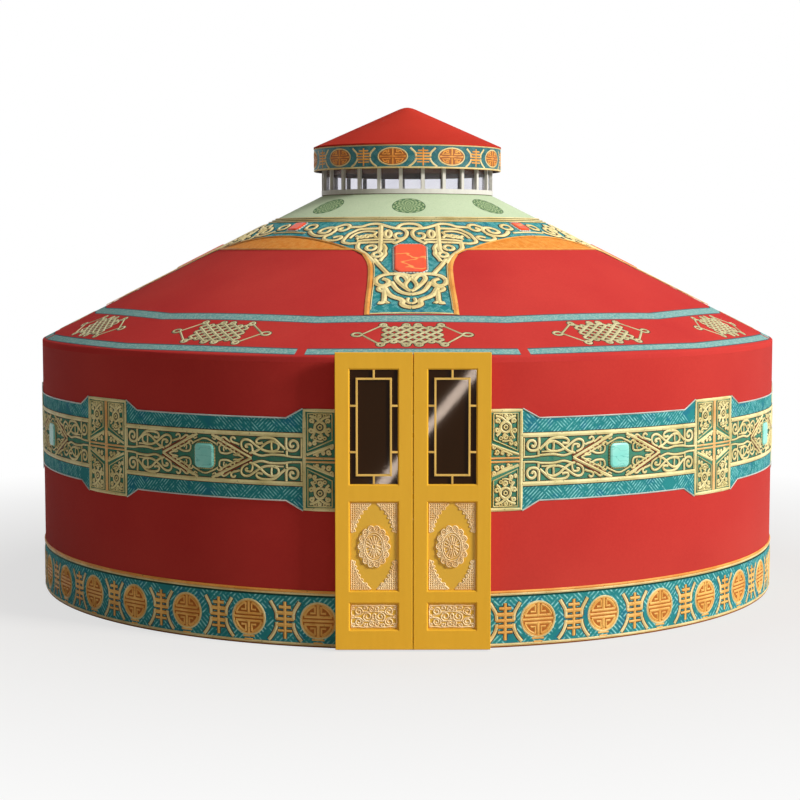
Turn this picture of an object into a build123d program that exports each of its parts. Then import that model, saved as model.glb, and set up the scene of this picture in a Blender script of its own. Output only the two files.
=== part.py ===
from build123d import *
import os
from math import asin, cos, degrees, floor, hypot, radians, sin, tan

os.makedirs("parts", exist_ok=True)

# A round felt tent with a conical roof, a glazed lantern on the crown and a
# two-leaf door. Millimetres. The origin is on the ground under the lantern's
# tip, +Z is up and the door faces -Y. An angle round the yurt is counted in
# degrees from the door towards +X.

# Wall and roof
WALL_RADIUS = 3000.0
EAVE_HEIGHT = 2000.0
WALL_COVER = 40.0
ROOF_SLOPE = 26.8
ROOF_COVER = 36.0
EAVE_CHAMFER = 22.0
CROWN_OPENING = 706.0
ROOF_COVERS = 6
SEAT_GAP = 0.3

# Door frame
DOOR_HALF_WIDTH = 450.0
JAMB_WIDTH = 65.0
FRAME_DEPTH = 155.0
FRAME_PROUD = 5.0
SILL_HEIGHT = 50.0
HEAD_HEIGHT = 55.0

# Door leaves
LEAF_ABOVE_EAVE = 34.0
LEAF_BOTTOM = 10.0
LEAF_THICKNESS = 40.0
LEAF_GAP = 5.0
LEAF_CHAMFER = 3.0
OPENING_CHAMFER = 9.0
STILE_WIDTH = 100.0
BOTTOM_RAIL, KICK_HEIGHT = 138.0, 179.0
LOWER_RAIL, PANEL_HEIGHT = 89.0, 603.0
MIDDLE_RAIL, TOP_RAIL = 124.0, 116.0
REBATE = 10.0
LIP = 18.0
PANEL_THICKNESS = 14.0
GLASS_THICKNESS = 4.0
BAR_WIDTH = 15.0
BAR_DEPTH = 14.0
BAR_INSET_SIDE = 40.0
BAR_INSET_END = 54.0
BAR_STUBS = (0.324, 0.676)
BOSS_HALF_WIDTH, BOSS_HALF_HEIGHT, BOSS_HEIGHT = 111.0, 148.0, 6.0

# Hinges, hidden behind the leaves' outer edges
HINGE_FROM_BOTTOM, HINGE_FROM_TOP = 250.0, 274.0
HINGE_LENGTH = 100.0
KNUCKLE_RADIUS = 6.0
PIN_RADIUS = 3.0
PIN_CLEARANCE = 0.08
HINGE_PLATE = 2.0
HINGE_LEAF_WIDTH = 50.0
HINGE_JAMB_WIDTH = 40.0
HINGE_INSET = 6.0
HINGE_BACK = 7.0

# Lattice wall and roof poles
POLES = 36
DIAMOND_ROWS = 3
LATH_WIDTH = 30.0
LATH_THICKNESS = 18.0
LATH_FOOT = 40.0
LATH_HORN = 45.0
POLE_WIDTH = 28.0
POLE_DEPTH = 40.0
POLE_FOOT_INSET = 3.5

# Crown
CROWN_LAP = 34.0
CROWN_WIDTH = 100.0
CROWN_DEPTH = 68.0
CROWN_SEGMENTS = POLES // 2
CROWN_UPSTAND = 42.0
CROSS_WIDTH = 40.0
CROSS_DEPTH = 45.0

# Lantern
LANTERN_LIFT = 4.2
LANTERN_BASE_LAP, LANTERN_BASE_WIDTH, LANTERN_BASE_HEIGHT = 6.0, 52.0, 37.0
POSTS = 25
POST_PHASE = -5.0
POST_WIDTH, POST_DEPTH, POST_HEIGHT = 27.0, 24.0, 200.0
POST_INSET = 14.0
GLAZING_THICKNESS = 4.0
SOFFIT_THICKNESS, SOFFIT_LAP = 25.0, 30.0
BACKING_THICKNESS = 18.0
FASCIA_OVERHANG, FASCIA_THICKNESS = 63.0, 6.0
FASCIA_DROP, FASCIA_HEIGHT = 42.0, 188.0
CAP_OVERHANG, CAP_RIM, CAP_RISE = 3.0, 4.0, 344.0
CAP_THICKNESS = 17.0
CAP_TIP_RADIUS, CAP_TIP_DROP = 34.0, 6.0

# Sewn bands
BAND_THICKNESS = 4.0
HEM_BOTTOM, HEM_TOP = 6.0, 394.0
BELT_BELOW_EAVE = 706.0
BELT_THICKNESS = 5.0
BELT_PANEL_HALF, BELT_NARROW_HALF = 350.0, 284.0
BELT_PANEL_SWEEP, BELT_SLOPE_SWEEP = 9.3, 2.3
BELT_PANELS = 10
BELT_FIRST = 9.8
COLLAR_THICKNESS = 4.0
COLLAR_MARGIN = 4.0
COLLAR_RING = 1585.0
COLLAR_ARM_END = 2466.0
COLLAR_ARM_HALF = 335.0
COLLAR_WAIST_HALF, COLLAR_WAIST_RADIUS = 312.0, 1900.0
COLLAR_FLARE = 430.0


def roof_top(radius):
    """Height of the roof's outer surface."""
    return EAVE_HEIGHT + (WALL_RADIUS - radius) * tan(radians(ROOF_SLOPE))


def roof_under(radius):
    """Height of the roof cover's underside."""
    return roof_top(radius) - ROOF_COVER / cos(radians(ROOF_SLOPE))


def section(*points):
    """A face in the plane through the axis, from (radius, height) points."""
    return Plane.XZ * make_face(Polyline(*points, close=True))


def at_angle(shape, angle):
    """A shape made facing +X, turned to an angle round the yurt."""
    return Rot(0, 0, angle - 90) * shape


def round_section(*points):
    """A full round of a section."""
    return revolve(section(*points), Axis.Z)


def wedge(radius, half_angle):
    """Everything within an angle of the plane through +X, out to a radius and well above the roof."""
    side = radius * tan(radians(half_angle))
    outline = make_face(Polyline((0, 0), (radius, side), (radius, -side), close=True))
    return extrude(outline, 3 * EAVE_HEIGHT)


def stretched(edges, *points):
    """A section carried round in flat facets, as canvas lies between poles, that fold at the given angles."""
    facets = []
    reach = 1.3 * max(radius for radius, _ in points)
    for low, high in zip(edges, edges[1:]):
        half = (high - low) / 2
        flat = section(*[(radius * cos(radians(half)), height) for radius, height in points])
        facet = extrude(flat, reach * tan(radians(half)), both=True) & wedge(reach, half)
        facets.append(at_angle(facet, low + half))
    return facets[0].fuse(*facets[1:])


def slab(x0, x1, y0, y1, z0, z1):
    """A block between two corners."""
    return Pos(x0, y0, z0) * Box(x1 - x0, y1 - y0, z1 - z0, align=(Align.MIN,) * 3)


def keep(name, *shapes):
    """One node: its solids, written apart."""
    solids = [solid for shape in shapes for solid in shape.solids()]
    export_step(Compound(children=solids) if len(solids) > 1 else solids[0], f"parts/{name}.step")


frame_outer = DOOR_HALF_WIDTH + JAMB_WIDTH
crown_outer = CROWN_OPENING + CROWN_LAP
crown_inner = crown_outer - CROWN_WIDTH
lantern_base_outer = CROWN_OPENING + LANTERN_BASE_LAP
lantern_base_bottom = roof_top(CROWN_OPENING) + LANTERN_LIFT
belt_middle = EAVE_HEIGHT - BELT_BELOW_EAVE
frame_front = -(WALL_RADIUS + FRAME_PROUD)
frame_back = frame_front + FRAME_DEPTH
wall_inner = WALL_RADIUS - WALL_COVER
bay = 360 / POLES
fold = bay / 2
jamb_angle = degrees(asin(frame_outer / WALL_RADIUS))
wall_start = fold * floor(jamb_angle / fold)
first_strip = floor((jamb_angle + fold) / bay)
quarters = (wall_start, 90 + fold, 180, 270 - fold, 360 - wall_start)
quarter_names = ("front_right", "back_right", "back_left", "front_left")

# ---------------------------------------------------------------- covers


def beside_door(shape, clearance=0.0):
    """What stands clear of the doorway, cut flush with the jambs' outer sides."""
    half = frame_outer + clearance
    return shape - slab(-half, half, -1.2 * WALL_RADIUS, -0.5 * WALL_RADIUS, -10, 2 * EAVE_HEIGHT)


def folds(low, high):
    """The cover's fold lines between two angles, two to a bay of poles."""
    return [low + k * fold for k in range(round((high - low) / fold) + 1)]


def wall_covers():
    """Felt and canvas wall, bevelled on top to the roof's slope."""
    for name, low, high in zip(quarter_names, quarters, quarters[1:]):
        keep("wall_cover_" + name, beside_door(stretched(
            folds(low, high),
            (wall_inner, 0),
            (WALL_RADIUS, 0),
            (WALL_RADIUS, roof_under(WALL_RADIUS) - SEAT_GAP),
            (wall_inner, roof_under(wall_inner) - SEAT_GAP),
        )))


def roof_covers():
    """Cone of the roof, sewn from sectors over the poles, with its eave edge eased."""
    sweep = 360 / ROOF_COVERS
    for k in range(ROOF_COVERS):
        low = 3 * fold + (k - 1) * sweep
        edges = [low + i * fold for i in range(round(sweep / fold) + 1)]
        keep(f"roof_cover_{k + 1}", stretched(
            edges,
            (WALL_RADIUS, roof_under(WALL_RADIUS)),
            (WALL_RADIUS, EAVE_HEIGHT - EAVE_CHAMFER),
            (WALL_RADIUS - EAVE_CHAMFER, roof_top(WALL_RADIUS - EAVE_CHAMFER)),
            (CROWN_OPENING, roof_top(CROWN_OPENING)),
            (CROWN_OPENING, roof_under(CROWN_OPENING)),
        ))


# ------------------------------------------------------------ sewn bands


def wall_band(thickness, bottom, top):
    """A band sewn round the wall, clear of the hinge plates beside the door."""
    inner = WALL_RADIUS + SEAT_GAP
    band = stretched(
        folds(wall_start, 360 - wall_start),
        (inner, bottom), (inner + thickness, bottom), (inner + thickness, top), (inner, top),
    )
    return beside_door(band, HINGE_PLATE + SEAT_GAP)


def belt_band():
    """Band at mid height: tall panels joined by a narrower run."""
    pitch = (360 - 2 * BELT_FIRST) / (BELT_PANELS - 1)
    half_narrow = (pitch - BELT_PANEL_SWEEP) / 2 - BELT_SLOPE_SWEEP
    low = WALL_RADIUS * sin(radians(half_narrow))
    high = WALL_RADIUS * sin(radians(half_narrow + BELT_SLOPE_SWEEP))
    step = BELT_PANEL_HALF - BELT_NARROW_HALF
    outline = Polyline((-low, 0), (low, 0), (high, step), (high, 2 * step), (-high, 2 * step), (-high, step),
                       close=True)
    notch = extrude(Plane.YZ * make_face(outline), 1.2 * WALL_RADIUS)
    upper = Pos(0, 0, belt_middle + BELT_NARROW_HALF) * notch
    lower = Pos(0, 0, belt_middle - BELT_NARROW_HALF) * mirror(notch, Plane.XY)
    middles = [BELT_FIRST + (k + 0.5) * pitch for k in range(BELT_PANELS - 1)]
    band = wall_band(BELT_THICKNESS, belt_middle - BELT_PANEL_HALF, belt_middle + BELT_PANEL_HALF)
    return band - [at_angle(half, angle) for angle in middles for half in (upper, lower)]


def collar_outline():
    """Plan of the collar: a disc with four arms that flare into it."""
    flare_radius = COLLAR_RING * cos(asin(COLLAR_FLARE / COLLAR_RING))
    past_end = COLLAR_ARM_END * 1.1
    straight_from = COLLAR_ARM_END * 0.97
    half_arm = make_face([
        Line((past_end, COLLAR_ARM_HALF), (straight_from, COLLAR_ARM_HALF)),
        Spline((straight_from, COLLAR_ARM_HALF), (COLLAR_WAIST_RADIUS, COLLAR_WAIST_HALF),
               (flare_radius, COLLAR_FLARE)),
        Line((flare_radius, COLLAR_FLARE), (0, COLLAR_FLARE)),
        Line((0, COLLAR_FLARE), (0, 0)),
        Line((0, 0), (past_end, 0)),
        Line((past_end, 0), (past_end, COLLAR_ARM_HALF)),
    ])
    arm = half_arm + mirror(half_arm, Plane.XZ)
    return RegularPolygon(COLLAR_RING, 2 * POLES) + [Rot(0, 0, 90 * k) * arm for k in range(4)]


def roof_collar():
    """Star laid round the crown: a ring with four arms that run down the roof."""
    collar_inner = lantern_base_outer + COLLAR_MARGIN

    def surface(radius, above):
        return radius, roof_top(radius) + SEAT_GAP + above

    shell = stretched(
        [k * fold for k in range(2 * POLES + 1)],
        surface(collar_inner, 0),
        surface(COLLAR_ARM_END, 0),
        surface(COLLAR_ARM_END, COLLAR_THICKNESS),
        surface(collar_inner, COLLAR_THICKNESS),
    )
    return shell & extrude(collar_outline(), 3 * EAVE_HEIGHT)


# ------------------------------------------------------------ door frame


def door_frame():
    """Jambs, sill and a head scribed to the underside of the roof."""
    head_bottom = roof_under(WALL_RADIUS) - SEAT_GAP - HEAD_HEIGHT
    for name, side in (("right", 1), ("left", -1)):
        x0, x1 = sorted((side * DOOR_HALF_WIDTH, side * frame_outer))
        keep(f"door_jamb_{name}", slab(x0, x1, frame_front, frame_back, 0, head_bottom))
    keep("door_sill", slab(-DOOR_HALF_WIDTH, DOOR_HALF_WIDTH, frame_front, frame_back, 0, SILL_HEIGHT))
    above_head = stretched(
        [k * fold for k in range(-3, 4)],
        (wall_inner - FRAME_DEPTH, roof_under(wall_inner - FRAME_DEPTH) - SEAT_GAP),
        (WALL_RADIUS, roof_under(WALL_RADIUS) - SEAT_GAP),
        (1.1 * WALL_RADIUS, roof_under(WALL_RADIUS) - SEAT_GAP),
        (1.1 * WALL_RADIUS, 1.5 * EAVE_HEIGHT),
        (wall_inner - FRAME_DEPTH, 1.5 * EAVE_HEIGHT),
    )
    blank = slab(-frame_outer, frame_outer, frame_front, frame_back, head_bottom, head_bottom + FRAME_DEPTH)
    keep("door_head", blank - above_head)


# ----------------------------------------------------------- door leaves

leaf_back = frame_front - LEAF_GAP
leaf_front = leaf_back - LEAF_THICKNESS
leaf_inner = LEAF_GAP / 2
hinge_x = frame_outer + KNUCKLE_RADIUS
hinge_y = leaf_back + HINGE_BACK
leaf_outer = hinge_x + HINGE_INSET
leaf_top = EAVE_HEIGHT + LEAF_ABOVE_EAVE
opening_left = leaf_inner + STILE_WIDTH
opening_right = leaf_outer - STILE_WIDTH
kick_bottom = LEAF_BOTTOM + BOTTOM_RAIL
kick_top = kick_bottom + KICK_HEIGHT
panel_bottom = kick_top + LOWER_RAIL
panel_top = panel_bottom + PANEL_HEIGHT
window_bottom = panel_top + MIDDLE_RAIL
window_top = leaf_top - TOP_RAIL
opening_heights = ((window_bottom, window_top), (panel_bottom, panel_top), (kick_bottom, kick_top))
hinge_heights = (LEAF_BOTTOM + HINGE_FROM_BOTTOM, leaf_top - HINGE_FROM_TOP)


def leaf_frame():
    """Stiles and rails, rebated from the back for the panels and the glass."""
    body = slab(leaf_inner, leaf_outer, leaf_front, leaf_back, LEAF_BOTTOM, leaf_top)
    for z0, z1 in opening_heights:
        body -= slab(opening_left, opening_right, leaf_front - 1, leaf_back + 1, z0, z1)
        body -= slab(opening_left - REBATE, opening_right + REBATE, leaf_front + LIP, leaf_back + 1,
                     z0 - REBATE, z1 + REBATE)
    openings = [edge for wire in body.faces().sort_by(Axis.Y)[0].inner_wires() for edge in wire.edges()]
    body = chamfer(openings, OPENING_CHAMFER)
    return chamfer(body.faces().sort_by(Axis.Y)[0].outer_wire().edges(), LEAF_CHAMFER)


def leaf_board(z0, z1, thickness):
    """A board or pane that lies in the rebate behind one opening."""
    edge = REBATE - SEAT_GAP
    front = leaf_front + LIP
    return slab(opening_left - edge, opening_right + edge, front, front + thickness, z0 - edge, z1 + edge)


def leaf_panels():
    """Carved board with its oval boss, and the plain board under it."""
    upper = leaf_board(panel_bottom, panel_top, PANEL_THICKNESS)
    middle = ((opening_left + opening_right) / 2, (panel_bottom + panel_top) / 2)
    oval = Plane.XZ.offset(-leaf_front - LIP) * (Pos(*middle) * Ellipse(BOSS_HALF_WIDTH, BOSS_HALF_HEIGHT))
    upper += extrude(oval, BOSS_HEIGHT)
    return upper, leaf_board(kick_bottom, kick_top, PANEL_THICKNESS)


def leaf_lattice():
    """Window bars: a rectangle held off the opening's edges by short stubs."""
    y0 = leaf_front + LIP - BAR_DEPTH
    y1 = leaf_front + LIP
    x0, x1 = opening_left + BAR_INSET_SIDE, opening_right - BAR_INSET_SIDE
    z0, z1 = window_bottom + BAR_INSET_END, window_top - BAR_INSET_END
    bars = slab(x0, x1, y0, y1, z0, z1)
    bars -= slab(x0 + BAR_WIDTH, x1 - BAR_WIDTH, y0 - 1, y1 + 1, z0 + BAR_WIDTH, z1 - BAR_WIDTH)
    middle = (x0 + x1) / 2
    half = BAR_WIDTH / 2
    bars += slab(middle - half, middle + half, y0, y1, z1, window_top)
    bars += slab(middle - half, middle + half, y0, y1, window_bottom, z0)
    for share in BAR_STUBS:
        height = window_bottom + share * (window_top - window_bottom)
        bars += slab(opening_left, x0, y0, y1, height - half, height + half)
        bars += slab(x1, opening_right, y0, y1, height - half, height + half)
    return bars


def rod(radius, z0, z1):
    """A round length on the hinge line."""
    standing = (Align.CENTER, Align.CENTER, Align.MIN)
    return Pos(hinge_x, hinge_y, z0) * Cylinder(radius, z1 - z0, align=standing)


def knuckle(z0, z1):
    """An eight-sided knuckle on the hinge line."""
    return Pos(hinge_x, hinge_y, z0) * extrude(RegularPolygon(KNUCKLE_RADIUS, 8), z1 - z0)


def jamb_hinge(height):
    """Lower knuckle with the pin standing in it, on a plate on the jamb's side."""
    z0, z1 = height - HINGE_LENGTH / 2, height + HINGE_LENGTH / 2
    top = height - SEAT_GAP
    plate = slab(frame_outer, frame_outer + HINGE_PLATE, hinge_y, hinge_y + HINGE_JAMB_WIDTH, z0, top)
    return plate + knuckle(z0, top) + rod(PIN_RADIUS, z0, z1 - SEAT_GAP)


def leaf_hinge(height):
    """Upper knuckle, lifted onto the pin, on a plate on the leaf's back."""
    z1 = height + HINGE_LENGTH / 2
    low = height + SEAT_GAP
    plate = slab(hinge_x - HINGE_LEAF_WIDTH, hinge_x, leaf_back, leaf_back + HINGE_PLATE, low, z1)
    return plate + knuckle(low, z1) - rod(PIN_RADIUS + PIN_CLEARANCE, low - 1, z1 + 1)


def door_leaves():
    """Both leaves and their hinges, the left a mirror image of the right."""
    nodes = {
        "leaf_frame": [leaf_frame()],
        "leaf_panels": leaf_panels(),
        "leaf_glass": [leaf_board(window_bottom, window_top, GLASS_THICKNESS)],
        "leaf_lattice": [leaf_lattice()],
        "leaf_hinges": [leaf_hinge(height) for height in hinge_heights],
        "jamb_hinges": [jamb_hinge(height) for height in hinge_heights],
    }
    for name, shapes in nodes.items():
        keep("right_" + name, *shapes)
        keep("left_" + name, *[mirror(shape, Plane.YZ) for shape in shapes])


# ------------------------------------------------- lattice wall and poles

lath_outer = wall_inner - SEAT_GAP
strip_width = 2 * lath_outer * sin(radians(bay / 2))
pole_foot = lath_outer - POLE_FOOT_INSET
pole_rise = POLE_DEPTH / cos(radians(ROOF_SLOPE))


def pole_top(radius):
    return roof_under(radius) - 2 * SEAT_GAP


def lattice_heights():
    """Height of the top crossings, so that a pole just seats in their fork, and the diamonds' height."""
    head = EAVE_HEIGHT - 100
    for _ in range(30):
        diamond = (head - LATH_FOOT) / DIAMOND_ROWS
        slope = diamond / strip_width
        fork = (POLE_WIDTH / 2 + 2 * SEAT_GAP) * slope + LATH_WIDTH / 2 * hypot(1, slope)
        head = pole_top(pole_foot) - pole_rise - fork
    return head, diamond


lattice_head, diamond_height = lattice_heights()


def lattice_strip():
    """One flat strip of crossing laths, a diamond wide, facing +X."""
    slope = diamond_height / strip_width
    half = LATH_WIDTH / 2 * hypot(1, slope)
    reach = strip_width
    laths = Sketch()
    for k in range(-1, DIAMOND_ROWS + 2):
        low = lattice_head - k * diamond_height
        for sign in (1, -1):
            rise = sign * slope * (reach + strip_width / 2)
            fall = -sign * slope * (reach - strip_width / 2)
            laths += make_face(Polyline(
                (-reach, low + fall - half), (reach, low + rise - half),
                (reach, low + rise + half), (-reach, low + fall + half), close=True,
            ))
    window = Pos(0, (lattice_head + LATH_HORN) / 2) * Rectangle(1.2 * strip_width, lattice_head + LATH_HORN)
    apothem = lath_outer * cos(radians(bay / 2))
    strip = Pos(apothem, 0, 0) * extrude(Plane.YZ * (laths & window), -LATH_THICKNESS)
    return strip & wedge(WALL_RADIUS, bay / 2)


def lattices():
    """Folding lattice walls: laths fused where they cross, one node per wall section."""
    strip = lattice_strip()
    ends = (0, *quarters[1:-1], 360)
    strips = range(first_strip, POLES - first_strip + 1)
    for name, low, high in zip(quarter_names, ends, ends[1:]):
        middles = [k * bay for k in strips if low < k * bay <= high]
        parts = [at_angle(strip, angle) for angle in middles]
        keep("lattice_" + name, beside_door(parts[0].fuse(*parts[1:]), SEAT_GAP))


def pole(foot):
    """One straight roof pole facing +X, cut upright at both ends."""
    points = [(foot, pole_top(foot)), (crown_outer, pole_top(crown_outer))]
    lower = [(radius, height - pole_rise) for radius, height in reversed(points)]
    return extrude(section(*points, *lower), POLE_WIDTH / 2, both=True)


def roof_poles():
    """Poles from the wall to the crown, those over the door butted to its head."""
    wall_pole = pole(pole_foot)
    behind_head = slab(-WALL_RADIUS, WALL_RADIUS, -2 * WALL_RADIUS, frame_back, 0, 3 * EAVE_HEIGHT)
    sides = {"right": [], "left": []}
    for k in range(POLES):
        angle = (k + 0.5) * bay
        placed = at_angle(wall_pole, angle)
        if k in (0, POLES - 1):
            placed -= behind_head
        sides["right" if angle < 180 else "left"].append(placed)
    for name, poles in sides.items():
        keep("roof_poles_" + name, *poles)


# ------------------------------------------------------- crown and lantern


def flats_ring(outer, inner, flats, phase, z0, z1):
    """A ring with flat sides, given by its corner radii, that starts with a flat at the phase angle."""
    outline = RegularPolygon(outer, flats) - RegularPolygon(inner, flats)
    return Pos(0, 0, z0) * at_angle(extrude(outline, z1 - z0), phase + 180 / flats)


def crown():
    """Ring of butted segments, with a flat for each pole and an upstand for the lantern, and a cross."""
    corner = 1 / cos(radians(bay / 2))
    top = roof_under(crown_outer * corner) - 2 * SEAT_GAP
    upstand_outer = CROWN_OPENING - SEAT_GAP
    ring = flats_ring(crown_outer * corner, crown_inner * corner, POLES, bay / 2, top - CROWN_DEPTH, top)
    ring += flats_ring(upstand_outer, upstand_outer - CROWN_UPSTAND, POLES, bay / 2, top, lantern_base_bottom)
    sweep = 360 / CROWN_SEGMENTS
    joint = degrees(SEAT_GAP / 2 / crown_inner)
    segment = ring & at_angle(wedge(WALL_RADIUS, sweep / 2 - joint), sweep / 2)
    keep("crown_ring", *[Rot(0, 0, k * sweep) * segment for k in range(CROWN_SEGMENTS)])
    length = 2 * crown_inner
    bars = Box(length, CROSS_WIDTH, CROSS_DEPTH) + Box(CROSS_WIDTH, length, CROSS_DEPTH)
    keep("crown_cross", Pos(0, 0, top - CROWN_DEPTH / 2) * Rot(0, 0, 45) * bars)


def lantern():
    """Base ring, posts, glass and a deep fascia under a low conical cap."""
    base_top = lantern_base_bottom + LANTERN_BASE_HEIGHT
    base_inner = lantern_base_outer - LANTERN_BASE_WIDTH
    keep("lantern_base_ring", round_section(
        (base_inner, lantern_base_bottom), (lantern_base_outer, lantern_base_bottom),
        (lantern_base_outer, base_top), (base_inner, base_top),
    ))
    pitch = 360 / POSTS
    post_radius = lantern_base_outer - POST_INSET
    soffit_bottom = base_top + POST_HEIGHT
    post = slab(post_radius - POST_DEPTH / 2, post_radius + POST_DEPTH / 2, -POST_WIDTH / 2, POST_WIDTH / 2,
                base_top, soffit_bottom)
    keep("lantern_posts", *[at_angle(post, POST_PHASE + k * pitch) for k in range(POSTS)])
    glass_corner = post_radius - POST_DEPTH / 2 - SEAT_GAP
    keep("lantern_glazing", flats_ring(glass_corner, glass_corner - GLAZING_THICKNESS, POSTS,
                                       POST_PHASE + pitch / 2, base_top, soffit_bottom))
    fascia_radius = lantern_base_outer + FASCIA_OVERHANG
    fascia_inner = fascia_radius - FASCIA_THICKNESS
    fascia_bottom = soffit_bottom - FASCIA_DROP
    fascia_top = fascia_bottom + FASCIA_HEIGHT
    sides = 2 * POSTS
    backing = fascia_inner - SEAT_GAP
    soffit_top = soffit_bottom + SOFFIT_THICKNESS
    ring = flats_ring(backing, post_radius - SOFFIT_LAP, POSTS, POST_PHASE, soffit_bottom, soffit_top)
    ring += flats_ring(backing, backing - BACKING_THICKNESS, POSTS, POST_PHASE, soffit_top, fascia_top)
    keep("lantern_top_ring", ring)
    keep("lantern_fascia", flats_ring(fascia_radius, fascia_inner, sides, POST_PHASE + 180 / sides,
                                      fascia_bottom, fascia_top))
    keep("lantern_cap", lantern_cap(sides, fascia_radius + CAP_OVERHANG, fascia_top))


def lantern_cap(sides, rim_radius, seat):
    """Low pyramid of many sides with an eased tip, resting on the fascia."""
    rim_top = seat + CAP_RIM
    apex = seat + CAP_RISE
    slope = (apex + CAP_TIP_DROP - rim_top) / rim_radius
    under_apex = apex + CAP_TIP_DROP - CAP_THICKNESS
    return stretched(
        [POST_PHASE + k * 360 / sides for k in range(sides + 1)],
        (0, under_apex),
        ((under_apex - seat) / slope, seat),
        (rim_radius, seat),
        (rim_radius, rim_top),
        (CAP_TIP_RADIUS, apex + CAP_TIP_DROP - slope * CAP_TIP_RADIUS),
        (0, apex),
    )


wall_covers()
roof_covers()
keep("hem_band", wall_band(BAND_THICKNESS, HEM_BOTTOM, HEM_TOP))
keep("belt_band", belt_band())
keep("roof_collar", roof_collar())
door_frame()
door_leaves()
lattices()
roof_poles()
crown()
lantern()
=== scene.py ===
# %% [markdown]
# A felt yurt with a conical roof, a glazed lantern on the crown and a two-leaf door.
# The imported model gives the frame: its bodies, joints and rigid pieces stay where they
# are, and this lesson dresses them. Cloth, felt, sewn borders and carving are made here.

# %% Frame and tools
from math import asin, ceil, cos, degrees, hypot, pi, radians, sin, sqrt, tan, tau

import bmesh
import bpy
from mathutils import Matrix, Vector


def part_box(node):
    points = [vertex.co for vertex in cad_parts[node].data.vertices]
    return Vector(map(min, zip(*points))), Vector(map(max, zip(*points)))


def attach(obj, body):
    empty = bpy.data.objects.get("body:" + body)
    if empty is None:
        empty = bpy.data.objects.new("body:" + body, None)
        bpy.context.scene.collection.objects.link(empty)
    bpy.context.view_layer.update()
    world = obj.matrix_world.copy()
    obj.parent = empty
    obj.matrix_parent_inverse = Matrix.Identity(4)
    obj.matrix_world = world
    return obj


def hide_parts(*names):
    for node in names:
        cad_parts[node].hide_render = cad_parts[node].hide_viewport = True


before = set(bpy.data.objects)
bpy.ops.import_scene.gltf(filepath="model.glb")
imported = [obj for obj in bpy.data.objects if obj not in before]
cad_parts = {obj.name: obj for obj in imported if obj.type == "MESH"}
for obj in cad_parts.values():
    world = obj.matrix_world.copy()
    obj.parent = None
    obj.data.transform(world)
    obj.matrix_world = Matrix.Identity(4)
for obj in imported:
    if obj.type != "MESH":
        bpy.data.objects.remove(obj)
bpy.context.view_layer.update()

# %% [markdown]
# The main sizes come from the model itself. Angles are counted from the door, which
# faces -Y, towards +X. A length round the wall is an angle times the wall's radius.

# %% Sizes from the frame


def heights(name):
    """The low and the high end of a node."""
    low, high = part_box(name)
    return low.z, high.z


ROOF_NODES = [f"roof_cover_{k}" for k in range(1, 7)]
WALL_NAMES = ("front_right", "back_right", "back_left", "front_left")
WALL_RADIUS = max(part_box(name)[1].x for name in ROOF_NODES)
EAVE_EDGE, ROOF_PEAK = heights("roof_cover_1")
CROWN_OPENING = 0.706
SLOPE = radians(26.8)
EAVE = ROOF_PEAK - (WALL_RADIUS - CROWN_OPENING) * tan(SLOPE)
HEM_LOW, HEM_HIGH = heights("hem_band")
BELT_MIDDLE = sum(heights("belt_band")) / 2
FASCIA_LOW, FASCIA_HIGH = heights("lantern_fascia")
FASCIA_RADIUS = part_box("lantern_fascia")[1].y
FRAME_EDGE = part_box("door_jamb_right")[1].x
print("wall radius", round(WALL_RADIUS, 4), "eave", round(EAVE, 4), "fascia", round(FASCIA_RADIUS, 4))

# %% [markdown]
# Finishes are node networks. A small class keeps each one short to write: it adds a
# node, links what is linked and fills in what is a plain number. Colours are given as
# they look on a colour card, 0 to 255, and turned into linear light.

# %% A short way to write node networks


def card(red, green, blue):
    """A colour from a colour card as linear light."""
    parts = [v / 255 for v in (red, green, blue)]
    return (*[v / 12.92 if v <= 0.04045 else ((v + 0.055) / 1.055) ** 2.4 for v in parts], 1.0)


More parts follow.
